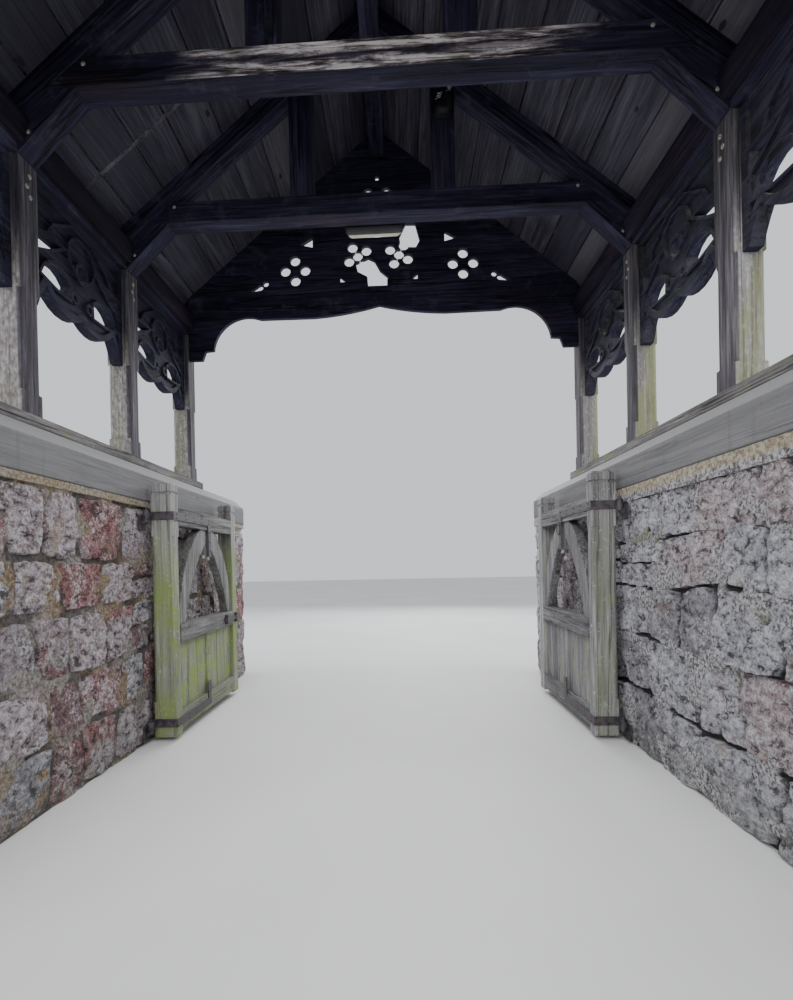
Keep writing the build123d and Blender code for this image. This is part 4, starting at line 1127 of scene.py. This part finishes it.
def build_gate_panel(side, look):
    """Upright boards either side of a muntin in a leaf's lower panel."""
    hand = SIDES[side]
    dice = random.Random(40 + hand)
    heap = Heap()
    low, high = PANEL_LOW, PANEL_HIGH
    middle_x, middle_y = (low.x + high.x) / 2, (low.y + high.y) / 2
    height = high.z - low.z
    along, across = Vector((0, 0, 1)), Vector((0, 1, 0))
    thickness = BOARD_THICKNESS - 0.002
    bays = ((low.y, middle_y - MUNTIN_WIDTH / 2), (middle_y + MUNTIN_WIDTH / 2, high.y))
    for start, end in bays:
        width = (end - start) / 3
        for index in range(3):
            y = start + width * index
            x = hand * middle_x + BOARD_THICKNESS / 2 - dice.uniform(0, 0.0015)
            corner = Vector((x, y + 0.0012, low.z))
            board(heap, corner, along, across, height, width - 0.0024, thickness, dice, 0.0012, 0.004)
    x = hand * middle_x + (high.x - low.x) / 2
    corner = Vector((x, middle_y - MUNTIN_WIDTH / 2, low.z))
    board(heap, corner, along, across, height, MUNTIN_WIDTH, high.x - low.x, dice, 0.0012, 0.006)
    piece = heap.piece(f"gate_{side}_panel_boards", look, LEAF[side], slot="gate_oak")
    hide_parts(f"gate_{side}_panel")


def build_gate_nails(side, look):
    """Nail heads in the straps and staples, and small bolts through the king piece."""
    hand = SIDES[side]
    heap = Heap()
    face = Vector((-hand, 0, 0))
    strap_x = hand * (LEAF_FACE_X - 0.006)
    for z, reach in zip((RAIL_Z[0], RAIL_Z[2]), STRAP_REACH):
        for step in range(5):
            y = 0.334 + (reach - 0.070) * step / 4
            for lift in (-0.011, 0.011):
                dome(heap, Vector((strap_x, y, z + lift)), face, 0.0045, 0.0028)
    for y, z in ((0.775, 0.150), (0.775, 0.195)):
        dome(heap, Vector((strap_x, y, z)), face, 0.0050, 0.0030)
    for lift in (0.030, 0.085, 0.140):
        dome(heap, Vector((hand * DROP_FACE_X, DROP_Y, DROP_FOOT + lift)), face, 0.0055, 0.0032)
    if side == "left":
        for y in (1.116, 1.315):
            for lift in (-0.022, 0.022):
                spot = Vector((hand * (LEAF_FACE_X - 0.018), y, RAIL_Z[1] + lift))
                dome(heap, spot, face, 0.0050, 0.0030)
    return heap.piece(f"gate_{side}_nails", look, LEAF[side], slot="wrought_iron")


def build_gate_pegs(side, look):
    """Pale peg ends at the joints of a leaf and under its king piece."""
    hand = SIDES[side]
    heap = Heap()
    face = Vector((-hand, 0, 0))
    rail_x, brace_x = hand * LEAF_FACE_X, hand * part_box("gate_right_braces")[0].x
    middle = RAIL_Z[1]
    for y, at_head in ((0.336, False), (1.315, True)):
        for z in RAIL_Z:
            for sway, lift in ((-0.010, 0.018), (0.010, -0.018)):
                if (z != middle and not at_head) or (side == "left" and z == middle and at_head):
                    continue
                dome(heap, Vector((rail_x, y + sway, z + lift)), face, 0.0075, 0.0022, sides=9)
    for y, z in KNOBS[side]:
        dome(heap, Vector((brace_x, y, z)), face, 0.0115, 0.0090, sides=10, flat=0.6)
    return heap.piece(f"gate_{side}_pegs", look, LEAF[side], slot="gate_oak")


def build_ring(look):
    """Pull ring that hangs from a staple beside the end of the right leaf's upper strap."""
    heap = Heap()
    centre = Vector((DROP_FACE_X - 0.0085, DROP_Y + 0.004, 1.060))
    reach, thick = 0.030, 0.0036
    sideways = Vector((1, 0, 0))
    rings = []
    for turn in turns(24):
        out = Vector((0, sin(turn), cos(turn)))
        spot = centre + out * reach
        rings.append([spot + (out * cos(a) + sideways * sin(a)) * thick for a in turns(8)])
    rings.append(rings[0])
    heap.loft(rings, caps=False)
    staple = []
    for step in range(9):
        turn = pi * step / 8
        spot = centre + Vector((0.0085 - 0.0130 * sin(turn), 0.0, reach + 0.0085 * cos(turn)))
        staple.append([spot + Vector((0.3 * sin(a), cos(a), sin(a))) * 0.0024 for a in turns(6)])
    heap.loft(staple)
    return heap.piece("gate_right_pull_ring", look, LEAF["right"], slot="wrought_iron")


def build_frame_pegs(look):
    """Oak peg ends at the joints of the roof frame."""
    heap = Heap()
    for index in (2, 3):
        low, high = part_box(f"collar_{index}")
        for y, face in ((low.y, Vector((0, -1, 0))), (high.y, Vector((0, 1, 0)))):
            for hand in (-1, 1):
                for x, z in ((1.020, 2.735), (1.235, 2.500)):
                    dome(heap, Vector((hand * x, y, z)), face, 0.0085, 0.004, sides=9)
    for index in range(1, 5):
        for side, hand in SIDES.items():
            low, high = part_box(f"post_{side}_{index}")
            x = low.x if hand > 0 else high.x
            for lift, sway in ((-0.050, 0.010), (-0.095, -0.006), (-0.128, 0.012)):
                spot = Vector((x, (low.y + high.y) / 2 + sway, high.z + lift))
                dome(heap, spot, Vector((-hand, 0, 0)), 0.0095, 0.005, sides=9)
    return heap.piece("frame_peg_ends", look, slot="dark_oak")


def build_batten(look):
    """Short repair batten nailed across the boards of the left slope."""
    heap = Heap()
    dice = random.Random(3)
    foot = slope_point(-1, BATTEN_FOOT, 0.052, -SARKING_THICKNESS - 0.0215)
    head = slope_point(-1, BATTEN_HEAD, 0.056, -SARKING_THICKNESS - 0.0215)
    along = (head - foot).normalized()
    normal = Vector((-sin(ROOF_PITCH), 0, cos(ROOF_PITCH)))
    across = normal.cross(along).normalized()
    board(heap, foot - across * 0.012, along, across, (head - foot).length, 0.024, 0.021, dice)
    return heap.piece("sarking_left_batten", look, slot="roof_boards")


def rounded_rectangle(width, height, radius, steps=5):
    """Points of a rectangle with round corners, in its own plane."""
    points = []
    across, upward = width / 2 - radius, height / 2 - radius
    for index, (sx, sz) in enumerate(((1, 1), (-1, 1), (-1, -1), (1, -1))):
        for step in range(steps + 1):
            turn = pi / 2 * (index + step / steps)
            points.append((sx * across + radius * cos(turn), sz * upward + radius * sin(turn)))
    return points


def lamp_shell(heap, centre, outlines, tone=0.5):
    """Skin a row of (width, height, radius, y) outlines."""
    rings = []
    for width, height, radius, y in outlines:
        outline = rounded_rectangle(width, height, radius)
        rings.append([Vector((centre.x + a, y, centre.z + b)) for a, b in outline])
    heap.loft(rings, tone)


def build_bulkhead_lamp(body_look, lens_look):
    """Oblong lamp: a stepped moulded base with lugs, and a ribbed lens."""
    low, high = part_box("bulkhead_lamp")
    centre = (low + high) / 2
    wide, tall = high.x - low.x, high.z - low.z
    lip = low.y + (high.y - low.y) / 2
    base, lens_heap = Heap(), Heap()
    lamp_shell(base, centre, (
        (wide - 0.012, tall - 0.012, 0.018, low.y), (wide - 0.002, tall - 0.002, 0.024, low.y + 0.006),
        (wide, tall, 0.024, lip - 0.018), (wide, tall, 0.024, lip - 0.004),
        (wide - 0.006, tall - 0.006, 0.022, lip), (wide - 0.020, tall - 0.020, 0.018, lip),
    ))
    for hand in (-1, 1):
        for up in (-1, 1):
            spot = Vector((centre.x + hand * (wide / 2 - 0.022), lip, centre.z + up * (tall / 2 - 0.006)))
            dome(base, spot - Vector((0, 0.004, up * 0.006)), Vector((0, 1, 0)), 0.0055, 0.005)
    lens_wide, lens_tall = wide - 0.018, tall - 0.018
    outlines = [(lens_wide, lens_tall, 0.020, lip - 0.002)]
    depth = high.y - lip
    for step in range(1, 9):
        part = step / 8
        shrink = 0.034 * part ** 3
        rib = 0.0016 if step % 2 else 0.0
        y = lip + depth * (1 - (1 - part) ** 1.3)
        outlines.append((lens_wide - shrink - rib, lens_tall - shrink - rib, 0.020, y))
    outlines.append((lens_wide - 0.060, lens_tall - 0.060, 0.008, high.y))
    lamp_shell(lens_heap, centre, outlines)
    piece = base.piece("bulkhead_lamp_base", body_look, slot="lamp_black")
    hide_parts("bulkhead_lamp")
    piece = lens_heap.piece("bulkhead_lamp_lens", lens_look, angle=50, slot="lamp_plastic")
    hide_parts("bulkhead_lamp")


def lens_bar(heap, centre, length, width, tilt, lean):
    """One rounded rib of a small lens, tilted in the lamp's face and leaning down."""
    turn = Matrix.Rotation(-tilt, 3, "Y") @ Matrix.Rotation(lean, 3, "X")
    rings = []
    for shrink, out in ((0.0, 0.002), (0.0, -0.0004), (0.0012, -0.0014)):
        outline = rounded_rectangle(length - 2 * shrink, width - 2 * shrink, width / 2 - shrink - 0.0002, 3)
        rings.append([centre + turn @ Vector((a, out, b)) for a, b in outline])
    heap.loft(rings)


def build_spot_lamp(body_look, lens_look):
    """Small black lamp: backplate, stepped domed housing and two little ribbed lenses."""
    low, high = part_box("spot_lamp")
    centre = (low + high) / 2
    wide, tall = high.x - low.x, high.z - low.z
    shell, glass = Heap(), Heap()
    depth = high.y - low.y
    lamp_shell(shell, centre, (
        (wide - 0.010, tall - 0.010, 0.030, high.y), (wide, tall, 0.034, high.y - 0.004),
        (wide, tall, 0.034, high.y - 0.014), (wide - 0.014, tall - 0.014, 0.034, high.y - 0.018),
        (wide - 0.018, tall - 0.022, 0.036, high.y - depth * 0.55),
        (wide - 0.030, tall - 0.040, 0.034, high.y - depth * 0.85),
        (wide - 0.046, tall - 0.060, 0.030, low.y + 0.003),
    ))
    knob = Vector((centre.x, low.y + 0.006, centre.z - 0.028))
    dome(shell, knob, Vector((0, -1, 0)), 0.026, 0.005, sides=20)
    face_y = low.y + 0.0042
    for sway, lift in ((-0.020, 0.004), (0.030, 0.040)):
        for rib in (-1, 0, 1):
            spot = Vector((centre.x + sway + 0.004 * rib, face_y, centre.z + lift + 0.0115 * rib))
            lens_bar(glass, spot, 0.028, 0.0085, 0.35, radians(38 if sway < 0 else 12))
    piece = shell.piece("spot_lamp_housing", body_look, slot="lamp_black")
    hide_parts("spot_lamp")
    piece = glass.piece("spot_lamp_lens", lens_look, slot="lamp_plastic")
    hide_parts("spot_lamp")


def dress_node(name, look, width):
    """Give a carried-over piece its finish and soften its edges."""
    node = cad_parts[name]
    node.data.materials.clear()
    node.data.materials.append(look)
    weld = node.modifiers.new("weld", "WELD")
    weld.merge_threshold = 0.0002
    bevel = node.modifiers.new("soft_edges", "BEVEL")
    bevel.width = width
    bevel.segments = 2
    bevel.limit_method = "ANGLE"
    bevel.angle_limit = radians(35)
    bevel.harden_normals = False
    normals = node.modifiers.new("normals", "WEIGHTED_NORMAL")
    normals.keep_sharp = False


# How far the edges are softened, by a word in the piece's name
EDGE_WIDTHS = {"pintles": 0.0008, "ironwork": 0.0010, "gable": 0.0018, "tracery": 0.0050, "sill": 0.007}
EDGE_WIDTH = 0.004


def dress_frame():
    """Finish every carried-over piece, with the grain along its own length."""
    across, upright = dark_oak("frame_oak_across", "XYZ"), dark_oak("frame_oak_upright", "ZXY")
    lengthwise = dark_oak("frame_oak_lengthwise", "YXZ")
    sloping = dark_oak("frame_oak_sloping", "XYZ", ROOF_PITCH)
    silver = dark_oak("collar_oak_silvered", "XYZ", 0.0, (-0.42, 1.15))
    carved = dark_oak("tracery_oak", "YXZ", crest=0.7)
    posts, irons, strips = post_oak(), iron(), red_oak()
    stiles = gate_oak("gate_oak_stiles", "ZXY", 0.95)
    rails = gate_oak("gate_oak_level", "YXZ", 0.12, 0.9, 0.58)
    braces = gate_oak("gate_oak_braces", "ZXY", 0.45, 0.6, 0.72)
    looks = {"collar_2": silver, "collar_3": across, "ridge_beam": lengthwise, "gate_pintles": irons}
    sills, soles = sill_oak(), sole_oak()
    for side in SIDES:
        looks[f"sill_{side}"] = sills
        looks[f"sole_plate_{side}"] = soles
        looks[f"wall_plate_{side}"] = lengthwise
        looks[f"cornice_{side}"] = strips
        for index in range(1, 5):
            looks[f"post_{side}_{index}"] = posts
        for index in range(1, 4):
            looks[f"tracery_{side}_{index}"] = carved
        for part in ("heel_stile", "head_stile"):
            looks[f"gate_{side}_{part}"] = stiles
        looks[f"gate_{side}_braces"] = braces
        looks[f"gate_{side}_rails"] = rails
        looks[f"gate_{side}_ironwork"] = irons
    for index in range(1, 5):
        looks[f"rafters_{index}"] = sloping
    for index in (2, 3):
        looks[f"queen_struts_{index}"] = upright
        looks[f"knee_braces_{index}"] = sloping
    for end in ("front", "back"):
        looks[f"gable_board_{end}"] = across
        looks[f"bargeboards_{end}"] = sloping
    for name, look in looks.items():
        widths = [width for word, width in EDGE_WIDTHS.items() if word in name]
        dress_node(name, look, widths[0] if widths else EDGE_WIDTH)
    return irons


# Name, place, target, size in metres and power of each broad lamp
STUDIO_LIGHTS = (
    ("soft_front", (-1.2, -6.5, 4.2), (0, 0, 1.3), 4.5, 330.0),
    ("soft_back", (0.8, 7.5, 4.5), (0, 0, 1.4), 5.0, 420.0),
    ("soft_left", (-7.0, 0.5, 4.5), (0, 0, 1.6), 4.5, 220.0),
    ("soft_right", (7.0, -0.5, 4.5), (0, 0, 1.6), 4.5, 260.0),
)


def build_studio():
    """Pale floor, soft lamps and a quiet world."""
    floor_shade = Shade("studio_floor", 0.75)
    wash = floor_shade.blotches(0.7, 4.0)
    pale = floor_shade.ramp(wash, (0.35, 0.65), (0.60, 0.60, 0.595), (0.66, 0.66, 0.655))
    grain = floor_shade.blotches(180.0, 3.0)
    floor_look = floor_shade.finish(pale, grain, 0.15, 0.001)
    mesh = bpy.data.meshes.new("studio_floor")
    size = 30.0
    corners = [(-size, -size, 0), (size, -size, 0), (size, size, 0), (-size, size, 0)]
    mesh.from_pydata(corners, [], [(0, 1, 2, 3)])
    mesh.materials.append(floor_look)
    floor = bpy.data.objects.new("studio_floor", mesh)
    bpy.context.scene.collection.objects.link(floor)
    world = bpy.data.worlds.new("studio")
    world.use_nodes = True
    background = world.node_tree.nodes["Background"]
    background.inputs["Color"].default_value = (0.90, 0.94, 1.0, 1.0)
    background.inputs["Strength"].default_value = 0.95
    bpy.context.scene.world = world
    for light in STUDIO_LIGHTS:
        add_light(*light)
    for y in (-1.5, 0.0, 1.5):
        fill = add_light("passage_fill", (0, y, 2.15), (0, y, 0), 1.0, 11.0)
        fill.visible_camera = False


def add_light(name, place, target, size, power):
    """A broad soft lamp that looks at a target."""
    data = bpy.data.lights.new(name, "AREA")
    data.shape = "DISK"
    data.size = size
    data.energy = power
    light = bpy.data.objects.new(name, data)
    light.location = place
    light.rotation_euler = (Vector(target) - Vector(place)).to_track_quat("-Z", "Y").to_euler()
    bpy.context.scene.collection.objects.link(light)
    return light


def build_all():
    """Dress the carried-over pieces and build the detailed ones."""
    irons = dress_frame()
    stone_look, mortar_look, tile_look, battens = stone(), mortar(), clay(), batten_oak()
    boards, pegs = board_oak(), peg_wood()
    gate_boards = gate_oak("gate_oak_boards", "ZXY", 0.70, 1.25, 0.85)
    for side in SIDES:
        build_wall(side, stone_look, mortar_look)
        build_sarking(side, boards)
        build_tiles(side, tile_look, mortar_look, battens)
        build_gate_panel(side, gate_boards)
        build_gate_nails(side, irons)
        build_gate_pegs(side, pegs)
    build_ridge(tile_look, mortar_look)
    build_ring(irons)
    build_frame_pegs(pegs)
    build_batten(battens)
    body_look, lens_look = lamp_body(), lens()
    build_bulkhead_lamp(body_look, lens_look)
    build_spot_lamp(body_look, reflector())


photo_camera()
build_studio()
build_all()
